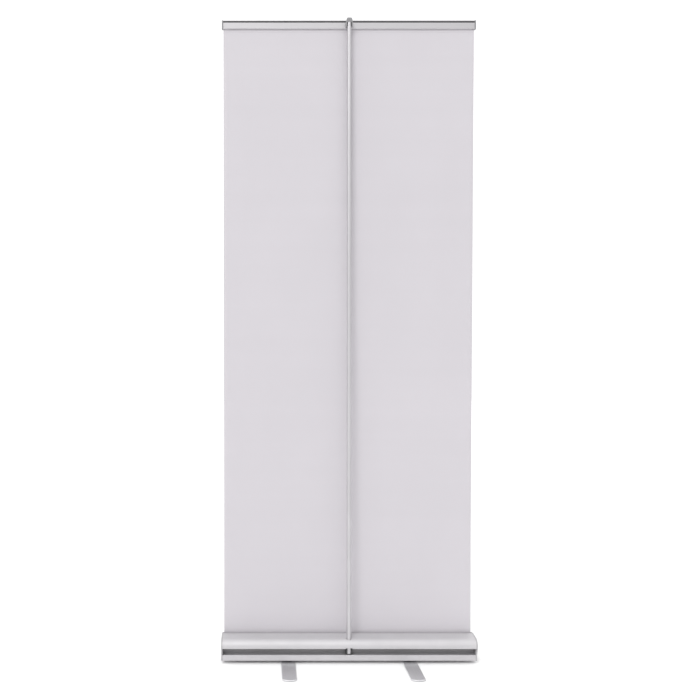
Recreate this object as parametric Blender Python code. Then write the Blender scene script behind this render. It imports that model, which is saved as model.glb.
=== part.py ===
"""Roll-up banner stand: a cassette on two swivelling feet, a pole in three sections, a banner and its rail.

The frame has +Z up, with its origin on the floor under the middle of the base. +X runs along the base. The
pole stands at the rear, on the -Y side, and the banner's printed side faces +Y. All sizes are in metres.
"""

import math

import bmesh
import bpy
from mathutils import Matrix, Vector

# ---- Driving sizes ----

# Banner
BANNER_WIDTH = 0.838
BANNER_VISIBLE = 2.031  # from the slot to the top rail
BANNER_THICKNESS = 0.0005
FILM_WOUND = 0.0003  # one turn on the roller
LEADER_WOUND = 0.0009  # the turns that never leave the roller

# Roller
ROLLER_DIAMETER = 0.032
ROLLER_WALL = 0.001
ROLLER_Y = 0.0028
PLUG_LENGTH = 0.015
STUB_DIAMETER = 0.008
SPINDLE_DIAMETER = 0.008
SPINDLE_REACH = 0.250  # into the roller
SPINDLE_SQUARE = 0.007
SPRING_WIRE = 0.0016
SPRING_TURNS = 14
ANCHOR_LENGTH = 0.014

# Cassette
CAP_OVERHANG = 0.0075  # the base's end past the banner's edge
CAP_THICKNESS = 0.0047
CAP_PROUD = 0.0004
HOUSING_WALL = 0.0016
SPACE_UNDER_ROLL = 0.0174
SPACE_OVER_ROLL = 0.0136
SPACE_FRONT = 0.0149
SPACE_BEHIND_POLE = 0.0128
BULGE_RADIUS = 0.024
TOP_FALL = 0.0026
TOP_SLOPE = 0.06  # how steeply the top falls to the rear
FRONT_RADIUS = 0.0115
SLOT_REAR = 0.0095  # from the banner to the rear lip
SLOT_FRONT = 0.0060
LEDGE_HEIGHT = 0.0193
LEDGE_BEHIND_POLE = 0.0023
UNDERCUT_RISE = 0.0237
UNDERCUT_SLOPE = 0.0070
SCREW_DIAMETER = 0.0036
SCREW_LENGTH = 0.016
SCREW_HEAD_DIAMETER = 0.0070
SCREW_HEAD_HEIGHT = 0.0022
PORT_WALL = 0.0019
PORT_OPENING = math.radians(25)  # half of the gap in a port's wall

# Feet
FOOT_PIVOT_X = 0.203
FOOT_LENGTH = 0.393
FOOT_WIDTH = 0.046
FOOT_THICKNESS = 0.004
FOOT_END_RADIUS = 0.0315
PAD_HEIGHT = 0.002
PAD_DIAMETER = 0.026
PAD_INSET = 0.024
SPACER_HEIGHT = 0.005
SPACER_DIAMETER = 0.030
BOLT_DIAMETER = 0.006
BOLT_HEAD_DIAMETER = 0.016
BOLT_HEAD_HEIGHT = 0.0012
WASHER_DIAMETER = 0.014
WASHER_THICKNESS = 0.001
NUT_WIDTH = 0.010
NUT_HEIGHT = 0.005

# Pole
POLE_DIAMETER = 0.0145
POLE_WALL = 0.0009
POLE_LEAN = math.radians(0.40)
SECTION_NAMES = ("lower", "middle", "upper")
POLE_TO_ROLL = 0.0045
FERRULE_LENGTH = 0.076
FERRULE_WALL = 0.0012
POLE_PLUG_FLANGE = 0.003
POLE_PLUG_LENGTH = 0.020
CORD_DIAMETER = 0.003
SOCKET_SIDE_WALL = 0.0039
SOCKET_FRONT_WALL = 0.0028
SOCKET_HEIGHT = 0.0234
SOCKET_WRAP = 0.0051  # how far its arms reach behind the pole's axis

# Pole head
HEAD_WIDTH = 0.019
HEAD_TOP_WIDTH = 0.014
HEAD_REACH = 0.0088  # from the pole's axis to the head's front face
HEAD_ABOVE_RAIL = 0.0015
HEAD_BLOCK_HEIGHT = 0.0145
HEAD_SPIGOT_LENGTH = 0.022
HEAD_LEG_LENGTH = 0.0120
HEAD_LEG_WALL = 0.0033
HOOK_WIDTH = 0.012
HOOK_REACH = 0.0012

# Top rail
RAIL_HEIGHT = 0.028
RAIL_BEHIND_BANNER = 0.0055
RAIL_BEFORE_BANNER = 0.0065
RAIL_WALL = 0.0012
RAIL_CAP_THICKNESS = 0.005
RAIL_CAP_PROUD = 0.0006
RAIL_LIP = 0.0050
GROOVE_DEPTH = 0.0034
GROOVE_BELOW_TOP = 0.0020
GROOVE_HEIGHT = 0.0058
GROOVE_LIP = 0.0012
STRIP_HEIGHT = 0.0090

# Fits
TOUCH = 0.0003  # between pieces that rest on or fill each other
RUNNING = 0.0004  # between a shaft and its hole
POLE_FIT = 0.0004  # between the pole and its socket
POLE_HOLE_FIT = 0.00125  # between the pole and the hole in the shell
HOOK_CLEARANCE = 0.0005  # between the hook and the rail, which part here
PORT_FIT = 0.0003

# How finely round shapes are made
ARC_STEP = math.radians(15)
ARC_ROOM = 0.98  # the share of a side that the arcs at its two ends may take up
SMOOTH_BELOW = math.radians(35)
ROUND_SIDES = 32
MEDIUM_SIDES = 24
SMALL_SIDES = 16
CORD_SIDES = 8
SPRING_SIDES = 12
FOOT_END_STEPS = 8
HEXAGON = 6

# ---- Sizes worked out from them ----

HALF_BANNER = BANNER_WIDTH / 2
HALF_BASE = HALF_BANNER + CAP_OVERHANG
HALF_HOUSING = HALF_BASE - CAP_THICKNESS - TOUCH
HALF_ROLLER = HALF_BANNER
ROLLER_RADIUS = ROLLER_DIAMETER / 2
POLE_RADIUS = POLE_DIAMETER / 2

BASE_UNDERSIDE = PAD_HEIGHT + FOOT_THICKNESS + SPACER_HEIGHT
LEADER_RADIUS = ROLLER_RADIUS + LEADER_WOUND
FULL_ROLL_RADIUS = math.sqrt(LEADER_RADIUS**2 + BANNER_VISIBLE * FILM_WOUND / math.pi)
ROLLER_Z = BASE_UNDERSIDE + HOUSING_WALL + SPACE_UNDER_ROLL + FULL_ROLL_RADIUS
TANGENT_Y = ROLLER_Y + LEADER_RADIUS + TOUCH + BANNER_THICKNESS / 2

POLE_Y = ROLLER_Y - FULL_ROLL_RADIUS - POLE_TO_ROLL - POLE_RADIUS
LEDGE_TOP = BASE_UNDERSIDE + LEDGE_HEIGHT
POLE_FOOT_Z = LEDGE_TOP + TOUCH

HOUSING_TOP = ROLLER_Z + FULL_ROLL_RADIUS + SPACE_OVER_ROLL
HOUSING_FRONT = ROLLER_Y + FULL_ROLL_RADIUS + SPACE_FRONT
HOUSING_REAR = POLE_Y - POLE_RADIUS - SPACE_BEHIND_POLE
LEDGE_REAR = POLE_Y - POLE_RADIUS - LEDGE_BEHIND_POLE
UNDERCUT_INNER = POLE_Y + POLE_RADIUS + POLE_FIT + SOCKET_FRONT_WALL / 2
BULGE_LOWER_EDGE = LEDGE_TOP + UNDERCUT_RISE
REAR_CORNER_Z = HOUSING_TOP - TOP_FALL - TOP_SLOPE * (TANGENT_Y - SLOT_REAR - HOUSING_REAR)

RAIL_TOP_Z = HOUSING_TOP + BANNER_VISIBLE + RAIL_HEIGHT
POLE_Y_AT_RAIL = POLE_Y - (RAIL_TOP_Z - POLE_FOOT_Z) * math.tan(POLE_LEAN)
RAIL_PLANE_Y = POLE_Y_AT_RAIL + HEAD_REACH + HOOK_REACH + HOOK_CLEARANCE + RAIL_BEHIND_BANNER
BANNER_TILT = math.atan2(TANGENT_Y - RAIL_PLANE_Y, RAIL_TOP_Z - ROLLER_Z)
RAIL_BOTTOM = (RAIL_TOP_Z - ROLLER_Z) / math.cos(BANNER_TILT) - RAIL_HEIGHT
RAIL_SLOT = BANNER_THICKNESS / 2 + TOUCH
STRIP_THICKNESS = RAIL_BEFORE_BANNER - RAIL_WALL - BANNER_THICKNESS / 2 - 2 * TOUCH
HALF_RAIL = HALF_BANNER + TOUCH

HEAD_TOP = (RAIL_TOP_Z + HEAD_ABOVE_RAIL - POLE_FOOT_Z) / math.cos(POLE_LEAN)
HOOK_HEIGHT = GROOVE_HEIGHT - GROOVE_LIP - 2 * TOUCH
HOOK_LEVEL = HEAD_TOP - HEAD_ABOVE_RAIL - GROOVE_BELOW_TOP - GROOVE_LIP - TOUCH - HOOK_HEIGHT / 2
POLE_TUBES_TOP = HEAD_TOP - HEAD_BLOCK_HEIGHT - TOUCH
SECTION_PITCH = (POLE_TUBES_TOP - POLE_PLUG_FLANGE) / len(SECTION_NAMES)
SECTION_LENGTH = SECTION_PITCH - TOUCH
POLE_BORE = POLE_RADIUS - POLE_WALL
FERRULE_RADIUS = POLE_BORE - TOUCH
CORD_BORE = FERRULE_RADIUS - FERRULE_WALL

PORT_BORE = SCREW_DIAMETER / 2 + PORT_FIT
PORT_RADIUS = PORT_BORE + PORT_WALL
PORT_SEAT = HOUSING_WALL + PORT_BORE + PORT_WALL / 2
POCKET_DEPTH = CAP_THICKNESS - HOUSING_WALL

LOOKS = {
    "silver aluminium": ((0.74, 0.74, 0.76), 0.38, 1.0),
    "zinc steel": ((0.60, 0.61, 0.62), 0.40, 1.0),
    "spring steel": ((0.33, 0.33, 0.35), 0.35, 1.0),
    "grey plastic": ((0.37, 0.37, 0.39), 0.50, 0.0),
    "black plastic": ((0.025, 0.025, 0.027), 0.50, 0.0),
    "rubber": ((0.03, 0.03, 0.03), 0.85, 0.0),
    "film": ((0.70, 0.70, 0.72), 0.55, 0.0),
    "elastic": ((0.05, 0.05, 0.05), 0.80, 0.0),
}


# ---- Modelling helpers ----


def clear_scene():
    """Remove every object and collection, so that the script can be run again."""
    for old in list(bpy.data.objects):
        bpy.data.objects.remove(old, do_unlink=True)
    for group in list(bpy.data.collections):
        bpy.data.collections.remove(group)


def empty_at(name, location, tilt=0.0, parent=None):
    """Add an empty on a joint's axis. tilt leans its Z axis back, towards -Y."""
    empty = bpy.data.objects.new(name, None)
    empty.empty_display_size = 0.05
    empty.location = location
    empty.rotation_euler = (tilt, 0.0, 0.0)
    empty.parent = parent
    bpy.context.scene.collection.objects.link(empty)
    return empty


def paint(piece, look):
    """Give a piece its own material."""
    colour, roughness, metallic = LOOKS[look]
    material = bpy.data.materials.new(piece.name)
    material.use_nodes = True
    shader = material.node_tree.nodes["Principled BSDF"]
    shader.inputs["Base Color"].default_value = (*colour, 1.0)
    shader.inputs["Roughness"].default_value = roughness
    shader.inputs["Metallic"].default_value = metallic
    piece.data.materials.append(material)


def solid(name, shape, look=None, location=(0, 0, 0), parent=None, smooth=False):
    """Turn a bmesh into a named object. A solid without a look is a cutter or a part of another piece."""
    bmesh.ops.recalc_face_normals(shape, faces=shape.faces)
    mesh = bpy.data.meshes.new(name)
    shape.to_mesh(mesh)
    shape.free()
    if smooth:
        mesh.shade_smooth()
        mesh.set_sharp_from_angle(angle=SMOOTH_BELOW)
    piece = bpy.data.objects.new(name, mesh)
    piece.location = location
    piece.parent = parent
    bpy.context.scene.collection.objects.link(piece)
    if look:
        paint(piece, look)
    else:
        piece.hide_render = True
        piece.display_type = "WIRE"
    return piece


def combine(piece, others, operation):
    """Cut other solids from a piece, or join them on, in one Boolean, which keeps the result closed."""
    group = bpy.data.collections.new(f"{piece.name}_{operation.lower()}")
    bpy.context.scene.collection.children.link(group)
    for other in others:
        group.objects.link(other)
    boolean = piece.modifiers.new(operation.title(), "BOOLEAN")
    boolean.operation = operation
    boolean.solver = "EXACT"
    boolean.operand_type = "COLLECTION"
    boolean.collection = group


def corner_reach(corners, index, closed):
    """Return how far a corner's rounding reaches along its two sides, and half the angle between them."""
    count = len(corners)
    corner = Vector(corners[index][:2])
    before = (Vector(corners[index - 1][:2]) - corner).normalized()
    after = (Vector(corners[(index + 1) % count][:2]) - corner).normalized()
    half = before.angle(after) / 2
    sharp = not closed and index in (0, count - 1)
    return 0.0 if sharp else corners[index][2] / math.tan(half), half


def round_corners(corners, closed):
    """Return an outline's points, given its corners as (y, z, radius), with each corner rounded to an arc.

    Two arcs that share a side shrink together where the side is too short for both.
    """
    points = []
    count = len(corners)
    reaches = [corner_reach(corners, index, closed)[0] for index in range(count)]
    for index, (y, z, _) in enumerate(corners):
        corner = Vector((y, z))
        reach, half = corner_reach(corners, index, closed)
        if reach <= 0:
            points.append(corner)
            continue
        before = Vector(corners[index - 1][:2]) - corner
        after = Vector(corners[(index + 1) % count][:2]) - corner
        room = min(
            before.length / (reach + reaches[index - 1]),
            after.length / (reach + reaches[(index + 1) % count]),
        )
        reach *= min(1.0, ARC_ROOM * room)
        before.normalize()
        after.normalize()
        centre = corner + (before + after).normalized() * (reach / math.cos(half))
        first = corner + before * reach - centre
        turn = first.angle_signed(corner + after * reach - centre)
        steps = max(2, math.ceil(abs(turn) / ARC_STEP))
        turns = [Matrix.Rotation(-turn * step / steps, 2) for step in range(steps + 1)]
        points += [centre + rotation @ first for rotation in turns]
    return points


def offset_corners(corners, distance, closed):
    """Move an outline's corners to its left by a distance, and keep each rounding concentric."""
    count = len(corners)
    moved = []
    for index, (y, z, radius) in enumerate(corners):
        here = Vector((y, z))
        arriving = (here - Vector(corners[index - 1][:2])).normalized()
        leaving = (Vector(corners[(index + 1) % count][:2]) - here).normalized()
        if not closed and index == 0:
            arriving = leaving
        if not closed and index == count - 1:
            leaving = arriving
        left_before = Vector((-arriving.y, arriving.x))
        left_after = Vector((-leaving.y, leaving.x))
        corner = here + (left_before + left_after) * (distance / (1 + left_before.dot(left_after)))
        turns_left = arriving.x * leaving.y - arriving.y * leaving.x > 0
        new_radius = radius - distance if turns_left else radius + distance
        moved.append((corner.x, corner.y, max(new_radius, TOUCH) if radius > 0 else 0.0))
    return moved


def prism(points, low_x, high_x):
    """Extrude a closed outline of (y, z) points along X."""
    shape = bmesh.new()
    verts = [shape.verts.new((low_x, y, z)) for y, z in points]
    face = shape.faces.new(verts)
    top = bmesh.ops.extrude_face_region(shape, geom=[face])["geom"]
    moved = [item for item in top if isinstance(item, bmesh.types.BMVert)]
    bmesh.ops.translate(shape, verts=moved, vec=(high_x - low_x, 0, 0))
    return shape


def slab(points, low_z, high_z):
    """Extrude a closed outline of (x, y) points along Z."""
    shape = prism(points, low_z, high_z)
    upright = Matrix(((0, 1, 0, 0), (0, 0, 1, 0), (1, 0, 0, 0), (0, 0, 0, 1)))
    bmesh.ops.transform(shape, matrix=upright, verts=shape.verts)
    return shape


def box(low, high):
    """Make a box from its lowest and highest corners."""
    outline = [(low[1], low[2]), (high[1], low[2]), (high[1], high[2]), (low[1], high[2])]
    return prism(outline, low[0], high[0])


def turned(profile, sides=ROUND_SIDES, hollow=False):
    """Turn a profile of (radius, z) points about Z. A hollow profile is a closed ring off the axis."""
    shape = bmesh.new()
    rings = []
    for radius, z in profile:
        if radius <= 0:
            rings.append([shape.verts.new((0, 0, z))])
            continue
        angles = [2 * math.pi * side / sides for side in range(sides)]
        rings.append([shape.verts.new((radius * math.cos(a), radius * math.sin(a), z)) for a in angles])
    pairs = list(zip(rings, rings[1:]))
    if hollow:
        pairs.append((rings[-1], rings[0]))
    for lower, upper in pairs:
        for side in range(sides):
            after = (side + 1) % sides
            places = [(lower, side), (lower, after), (upper, after), (upper, side)]
            corners = [ring[place % len(ring)] for ring, place in places]
            shape.faces.new(list(dict.fromkeys(corners)))
    return shape


def rod(radius, low, high, sides=ROUND_SIDES):
    """Make a plain rod along Z."""
    return turned([(0, low), (radius, low), (radius, high), (0, high)], sides)


def pipe(radius, bore, low, high, sides=ROUND_SIDES):
    """Make a plain pipe along Z."""
    return turned([(bore, low), (radius, low), (radius, high), (bore, high)], sides, hollow=True)


def along_x(shape):
    """Lay a shape's Z axis along X."""
    bmesh.ops.rotate(shape, matrix=Matrix.Rotation(math.radians(90), 3, "Y"), verts=shape.verts)
    return shape


# ---- Cassette ----


def housing_corners():
    """Return the housing's outer path, from the slot's rear lip round the bottom to its front lip."""
    return [
        (TANGENT_Y - SLOT_REAR, HOUSING_TOP, 0),
        (HOUSING_REAR, REAR_CORNER_Z, BULGE_RADIUS),
        (HOUSING_REAR, BULGE_LOWER_EDGE, 2 * HOUSING_WALL),
        (UNDERCUT_INNER, BULGE_LOWER_EDGE - UNDERCUT_SLOPE, HOUSING_WALL),
        (UNDERCUT_INNER, LEDGE_TOP, HOUSING_WALL / 2),
        (LEDGE_REAR, LEDGE_TOP, 1.5 * HOUSING_WALL),
        (LEDGE_REAR, BASE_UNDERSIDE, 1.5 * HOUSING_WALL),
        (HOUSING_FRONT, BASE_UNDERSIDE, 2 * HOUSING_WALL),
        (HOUSING_FRONT, HOUSING_TOP - TOP_FALL, FRONT_RADIUS),
        (TANGENT_Y + SLOT_FRONT, HOUSING_TOP - TOP_FALL, 0),
    ]


def port_places():
    """Return the (y, z) places of the screw ports: on the top, the bottom and the front wall."""
    (lip_y, lip_z, _), (rear_y, rear_z, _) = housing_corners()[:2]
    fall = math.atan2(lip_z - rear_z, lip_y - rear_y)
    top_y = POLE_Y + POLE_RADIUS + 2 * POLE_HOLE_FIT + PORT_RADIUS
    top_z = lip_z - (lip_y - top_y) * math.tan(fall) - PORT_SEAT / math.cos(fall)
    return [
        (top_y, top_z),
        (LEDGE_REAR + 1.5 * HOUSING_WALL + PORT_RADIUS, BASE_UNDERSIDE + PORT_SEAT),
        (HOUSING_FRONT - PORT_SEAT, ROLLER_Z),
    ]


def arc(centre, radius, first, last):
    """Return points on an arc between two angles."""
    steps = math.ceil(abs(last - first) / ARC_STEP)
    angles = [first + (last - first) * step / steps for step in range(steps + 1)]
    return [centre + Vector((radius * math.cos(a), radius * math.sin(a))) for a in angles]


def add_port(path, place):
    """Grow a C-shaped screw port out of the nearest straight stretch of the housing's inner path."""
    centre = Vector(place)
    stretches = []
    for index, (start, end) in enumerate(zip(path, path[1:])):
        share = max(0.0, min(1.0, (centre - start).dot(end - start) / (end - start).length_squared))
        stretches.append(((start + (end - start) * share - centre).length, index))
    gap, index = min(stretches)
    along = path[index + 1] - path[index]
    wall = math.atan2(-along.x, along.y)
    root = math.acos(gap / PORT_RADIUS)
    port = arc(centre, PORT_RADIUS, wall - root, wall - math.pi + PORT_OPENING)
    port += arc(centre, PORT_BORE, wall - math.pi + PORT_OPENING, wall + math.pi - PORT_OPENING)
    port += arc(centre, PORT_RADIUS, wall + math.pi - PORT_OPENING, wall + root)
    return path[: index + 1] + port + path[index + 1 :]


def make_housing(pole_axis):
    """Make the extruded housing, with its slot, screw ports, pole hole, window and bolt holes."""
    outer = round_corners(housing_corners(), closed=False)
    inner = round_corners(offset_corners(housing_corners(), HOUSING_WALL, closed=False), closed=False)
    for place in port_places():
        inner = add_port(inner, place)
    section = prism(outer + inner[::-1], -HALF_HOUSING, HALF_HOUSING)
    housing = solid("cassette_housing", section, "silver aluminium", smooth=True)
    hole = rod(POLE_RADIUS + POLE_HOLE_FIT, UNDERCUT_RISE, HOUSING_TOP)
    half_window = POLE_RADIUS + POLE_FIT + SOCKET_SIDE_WALL
    window = box(
        (-half_window, HOUSING_REAR - TOUCH, LEDGE_TOP + TOUCH / 2),
        (half_window, UNDERCUT_INNER + 1.5 * HOUSING_WALL, BULGE_LOWER_EDGE + 1.5 * HOUSING_WALL),
    )
    cutters = [solid("pole_hole", hole, parent=pole_axis), solid("pole_window", window)]
    for side in (-1, 1):
        bolt_hole = rod(BOLT_DIAMETER / 2 + RUNNING, 0, 2 * BASE_UNDERSIDE, SMALL_SIDES)
        cutters.append(solid(f"bolt_hole_{side}", bolt_hole, location=(side * FOOT_PIVOT_X, 0, 0)))
    combine(housing, cutters, "DIFFERENCE")


def cap_corners():
    """Return the end cap's outline: the housing's, without its undercut and its slot."""
    corners = housing_corners()
    kept = corners[:3] + corners[5:]
    return [(y, z, radius or HOUSING_WALL) for y, z, radius in kept]


def make_end_cap(name, side, pocket):
    """Make one end cap. side is -1 or 1; pocket is the cutter for the spindle or the stub axle."""
    inner = side * (HALF_HOUSING + TOUCH)
    low, high = sorted((0, side * CAP_THICKNESS))
    outline = round_corners(offset_corners(cap_corners(), -CAP_PROUD, closed=True), closed=True)
    cap = solid(name, prism(outline, low, high), "grey plastic", (inner, 0, 0), smooth=True)
    seat = CAP_THICKNESS - SCREW_HEAD_HEIGHT - 2 * TOUCH
    recess = SCREW_HEAD_DIAMETER / 2 + PORT_FIT
    profile = [(0, -TOUCH), (PORT_BORE, -TOUCH), (PORT_BORE, seat), (recess, seat)]
    profile += [(recess, CAP_THICKNESS + TOUCH), (0, CAP_THICKNESS + TOUCH)]
    cutters = [pocket]
    for index, (y, z) in enumerate(port_places()):
        hole = along_x(turned([(radius, side * depth) for radius, depth in profile], SMALL_SIDES))
        cutters.append(solid(f"{name}_hole_{index}", hole, location=(inner, y, z)))
    combine(cap, cutters, "DIFFERENCE")


def make_cap_screws(side_name, side):
    """Make the screws that hold one end cap in the housing's ports."""
    thread, rim = SCREW_DIAMETER / 2, SCREW_HEAD_DIAMETER / 2
    profile = [(0, -SCREW_LENGTH), (thread, -SCREW_LENGTH), (thread, 0), (rim, 0)]
    profile += [(rim, SCREW_HEAD_HEIGHT / 2), (rim - SCREW_HEAD_HEIGHT / 2, SCREW_HEAD_HEIGHT)]
    profile += [(0, SCREW_HEAD_HEIGHT)]
    seat = side * (HALF_BASE - TOUCH - SCREW_HEAD_HEIGHT)
    for index, (y, z) in enumerate(port_places()):
        shape = along_x(turned([(radius, side * place) for radius, place in profile], SMALL_SIDES))
        solid(f"end_cap_screw_{side_name}_{index + 1}", shape, "zinc steel", (seat, y, z), smooth=True)


def make_cassette(pole_axis):
    """Make the housing, its end caps and their screws."""
    make_housing(pole_axis)
    half_square = SPINDLE_SQUARE / 2 + TOUCH
    square = box((-POCKET_DEPTH, -half_square, -half_square), (TOUCH, half_square, half_square))
    spindle_pocket = solid("spindle_pocket", square, location=(-HALF_HOUSING - TOUCH, ROLLER_Y, ROLLER_Z))
    make_end_cap("end_cap_left", -1, spindle_pocket)
    bearing = along_x(rod(STUB_DIAMETER / 2 + RUNNING, -TOUCH, POCKET_DEPTH, SMALL_SIDES))
    stub_pocket = solid("stub_pocket", bearing, location=(HALF_HOUSING + TOUCH, ROLLER_Y, ROLLER_Z))
    make_end_cap("end_cap_right", 1, stub_pocket)
    make_cap_screws("left", -1)
    make_cap_screws("right", 1)


# ---- Roller ----


def make_spindle(centre):
    """Make the fixed spindle: a round rod with a square end that the left end cap holds."""
    pocket_end = -HALF_HOUSING - POCKET_DEPTH
    rod_start = -HALF_HOUSING + TOUCH
    shaft = along_x(rod(SPINDLE_DIAMETER / 2, rod_start, SPINDLE_REACH - HALF_ROLLER, SMALL_SIDES))
    spindle = solid("spindle", shaft, "zinc steel", centre, smooth=True)
    half = SPINDLE_SQUARE / 2
    end = box((pocket_end, -half, -half), (-HALF_ROLLER - TOUCH, half, half))
    combine(spindle, [solid("spindle_square", end, location=centre)], "UNION")


def make_spring(centre):
    """Make the torsion spring, a coil round the spindle between the left plug and the anchor."""
    start = -HALF_ROLLER + PLUG_LENGTH + SPRING_WIRE
    end = -HALF_ROLLER + SPINDLE_REACH - ANCHOR_LENGTH - SPRING_WIRE
    coil_radius = (SPINDLE_DIAMETER / 2 + ROLLER_RADIUS - ROLLER_WALL) / 2
    curve = bpy.data.curves.new("torsion_spring", "CURVE")
    curve.dimensions = "3D"
    curve.bevel_depth = SPRING_WIRE / 2
    curve.bevel_resolution = 1
    curve.use_fill_caps = True
    spline = curve.splines.new("POLY")
    count = SPRING_TURNS * SPRING_SIDES + 1
    spline.points.add(count - 1)
    for index, point in enumerate(spline.points):
        angle = 2 * math.pi * index / SPRING_SIDES
        x = start + (end - start) * index / (count - 1)
        point.co = (x, coil_radius * math.cos(angle), coil_radius * math.sin(angle), 1.0)
    spring = bpy.data.objects.new("torsion_spring", curve)
    spring.location = centre
    bpy.context.scene.collection.objects.link(spring)
    paint(spring, "spring steel")


def make_roller():
    """Make the roller with its plugs, the spring that turns it and the turns of film that stay on it."""
    centre = (0, ROLLER_Y, ROLLER_Z)
    axis = empty_at("roller_axis", centre)
    bore = ROLLER_RADIUS - ROLLER_WALL
    tube = along_x(pipe(ROLLER_RADIUS, bore, -HALF_ROLLER, HALF_ROLLER))
    solid("roller_tube", tube, "silver aluminium", parent=axis, smooth=True)
    leader = along_x(pipe(LEADER_RADIUS, ROLLER_RADIUS + TOUCH, -HALF_BANNER, HALF_BANNER))
    solid("wound_leader", leader, "film", parent=axis, smooth=True)
    plug = bore - TOUCH
    hole = SPINDLE_DIAMETER / 2 + RUNNING
    bush = along_x(pipe(plug, hole, -HALF_ROLLER, -HALF_ROLLER + PLUG_LENGTH))
    solid("roller_bush_left", bush, "black plastic", parent=axis, smooth=True)
    anchor_end = -HALF_ROLLER + SPINDLE_REACH
    anchor = along_x(pipe(plug, hole, anchor_end - ANCHOR_LENGTH, anchor_end))
    solid("spring_anchor", anchor, "black plastic", parent=axis, smooth=True)
    stub = STUB_DIAMETER / 2
    stub_end = HALF_HOUSING + POCKET_DEPTH
    profile = [(0, HALF_ROLLER - PLUG_LENGTH), (plug, HALF_ROLLER - PLUG_LENGTH), (plug, HALF_ROLLER)]
    profile += [(stub, HALF_ROLLER), (stub, stub_end), (0, stub_end)]
    solid("roller_plug_right", along_x(turned(profile)), "black plastic", parent=axis, smooth=True)
    make_spindle(centre)
    make_spring(centre)


# ---- Feet ----


def foot_outline():
    """Return a foot bar's outline: straight sides and shallow round ends."""
    half_width = FOOT_WIDTH / 2
    end_radius = max(FOOT_END_RADIUS, half_width)
    sweep = math.asin(half_width / end_radius)
    points = []
    for end in (1, -1):
        centre = end * (FOOT_LENGTH / 2 - end_radius)
        for step in range(FOOT_END_STEPS + 1):
            angle = sweep - 2 * sweep * step / FOOT_END_STEPS
            points.append((end * end_radius * math.sin(angle), centre + end * end_radius * math.cos(angle)))
    return points


def make_foot(name, side):
    """Make one foot with its pads, and the bolt, spacer, washer and nut that it swivels on."""
    pivot = empty_at(f"foot_{name}_pivot", (side * FOOT_PIVOT_X, 0, 0))
    bar_top = PAD_HEIGHT + FOOT_THICKNESS
    bar = solid(
        f"foot_bar_{name}",
        slab(foot_outline(), PAD_HEIGHT + TOUCH, bar_top),
        "silver aluminium",
        parent=pivot,
    )
    hole = rod(BOLT_DIAMETER / 2 + RUNNING, 0, BASE_UNDERSIDE, SMALL_SIDES)
    combine(bar, [solid(f"foot_hole_{name}", hole, parent=pivot)], "DIFFERENCE")
    for end, end_name in ((-1, "rear"), (1, "front")):
        place = (0, end * (FOOT_LENGTH / 2 - PAD_INSET), 0)
        pad = rod(PAD_DIAMETER / 2, 0, PAD_HEIGHT, MEDIUM_SIDES)
        solid(f"foot_pad_{name}_{end_name}", pad, "rubber", place, pivot, smooth=True)

    ring_bore = BOLT_DIAMETER / 2 + RUNNING
    spacer = pipe(SPACER_DIAMETER / 2, ring_bore, bar_top + TOUCH, BASE_UNDERSIDE - TOUCH, MEDIUM_SIDES)
    solid(f"foot_spacer_{name}", spacer, "black plastic", parent=pivot, smooth=True)
    washer_low = BASE_UNDERSIDE + HOUSING_WALL + TOUCH
    washer = pipe(WASHER_DIAMETER / 2, ring_bore, washer_low, washer_low + WASHER_THICKNESS, MEDIUM_SIDES)
    solid(f"foot_washer_{name}", washer, "zinc steel", parent=pivot, smooth=True)
    nut_low = washer_low + WASHER_THICKNESS + TOUCH
    nut = solid(
        f"foot_nut_{name}",
        rod(NUT_WIDTH / math.sqrt(3), nut_low, nut_low + NUT_HEIGHT, HEXAGON),
        "zinc steel",
        parent=pivot,
    )
    thread = rod(ring_bore, nut_low - TOUCH, nut_low + NUT_HEIGHT + TOUCH, SMALL_SIDES)
    combine(nut, [solid(f"foot_nut_hole_{name}", thread, parent=pivot)], "DIFFERENCE")
    head_top = PAD_HEIGHT
    head, shank = BOLT_HEAD_DIAMETER / 2, BOLT_DIAMETER / 2
    shank_top = nut_low + NUT_HEIGHT + BOLT_DIAMETER / 4
    profile = [(0, head_top - BOLT_HEAD_HEIGHT), (head - BOLT_HEAD_HEIGHT / 2, head_top - BOLT_HEAD_HEIGHT)]
    profile += [(head, head_top - BOLT_HEAD_HEIGHT / 2), (head, head_top), (shank, head_top)]
    profile += [(shank, shank_top), (0, shank_top)]
    solid(f"foot_bolt_{name}", turned(profile, MEDIUM_SIDES), "zinc steel", parent=pivot, smooth=True)


# ---- Pole ----


def make_socket(pole_axis):
    """Make the guide block that holds the pole's foot in the housing's window. It is open to the rear."""
    half = POLE_RADIUS + POLE_FIT + SOCKET_SIDE_WALL - TOUCH
    front = POLE_Y + POLE_RADIUS + POLE_FIT + SOCKET_FRONT_WALL
    rear = POLE_Y - SOCKET_WRAP
    block = box((-half, rear, POLE_FOOT_Z), (half, front, POLE_FOOT_Z + SOCKET_HEIGHT))
    socket = solid("pole_socket", block, "black plastic")
    bore = rod(POLE_RADIUS + POLE_FIT, -POLE_FIT, 2 * SOCKET_HEIGHT)
    combine(socket, [solid("socket_bore", bore, parent=pole_axis)], "DIFFERENCE")


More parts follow.
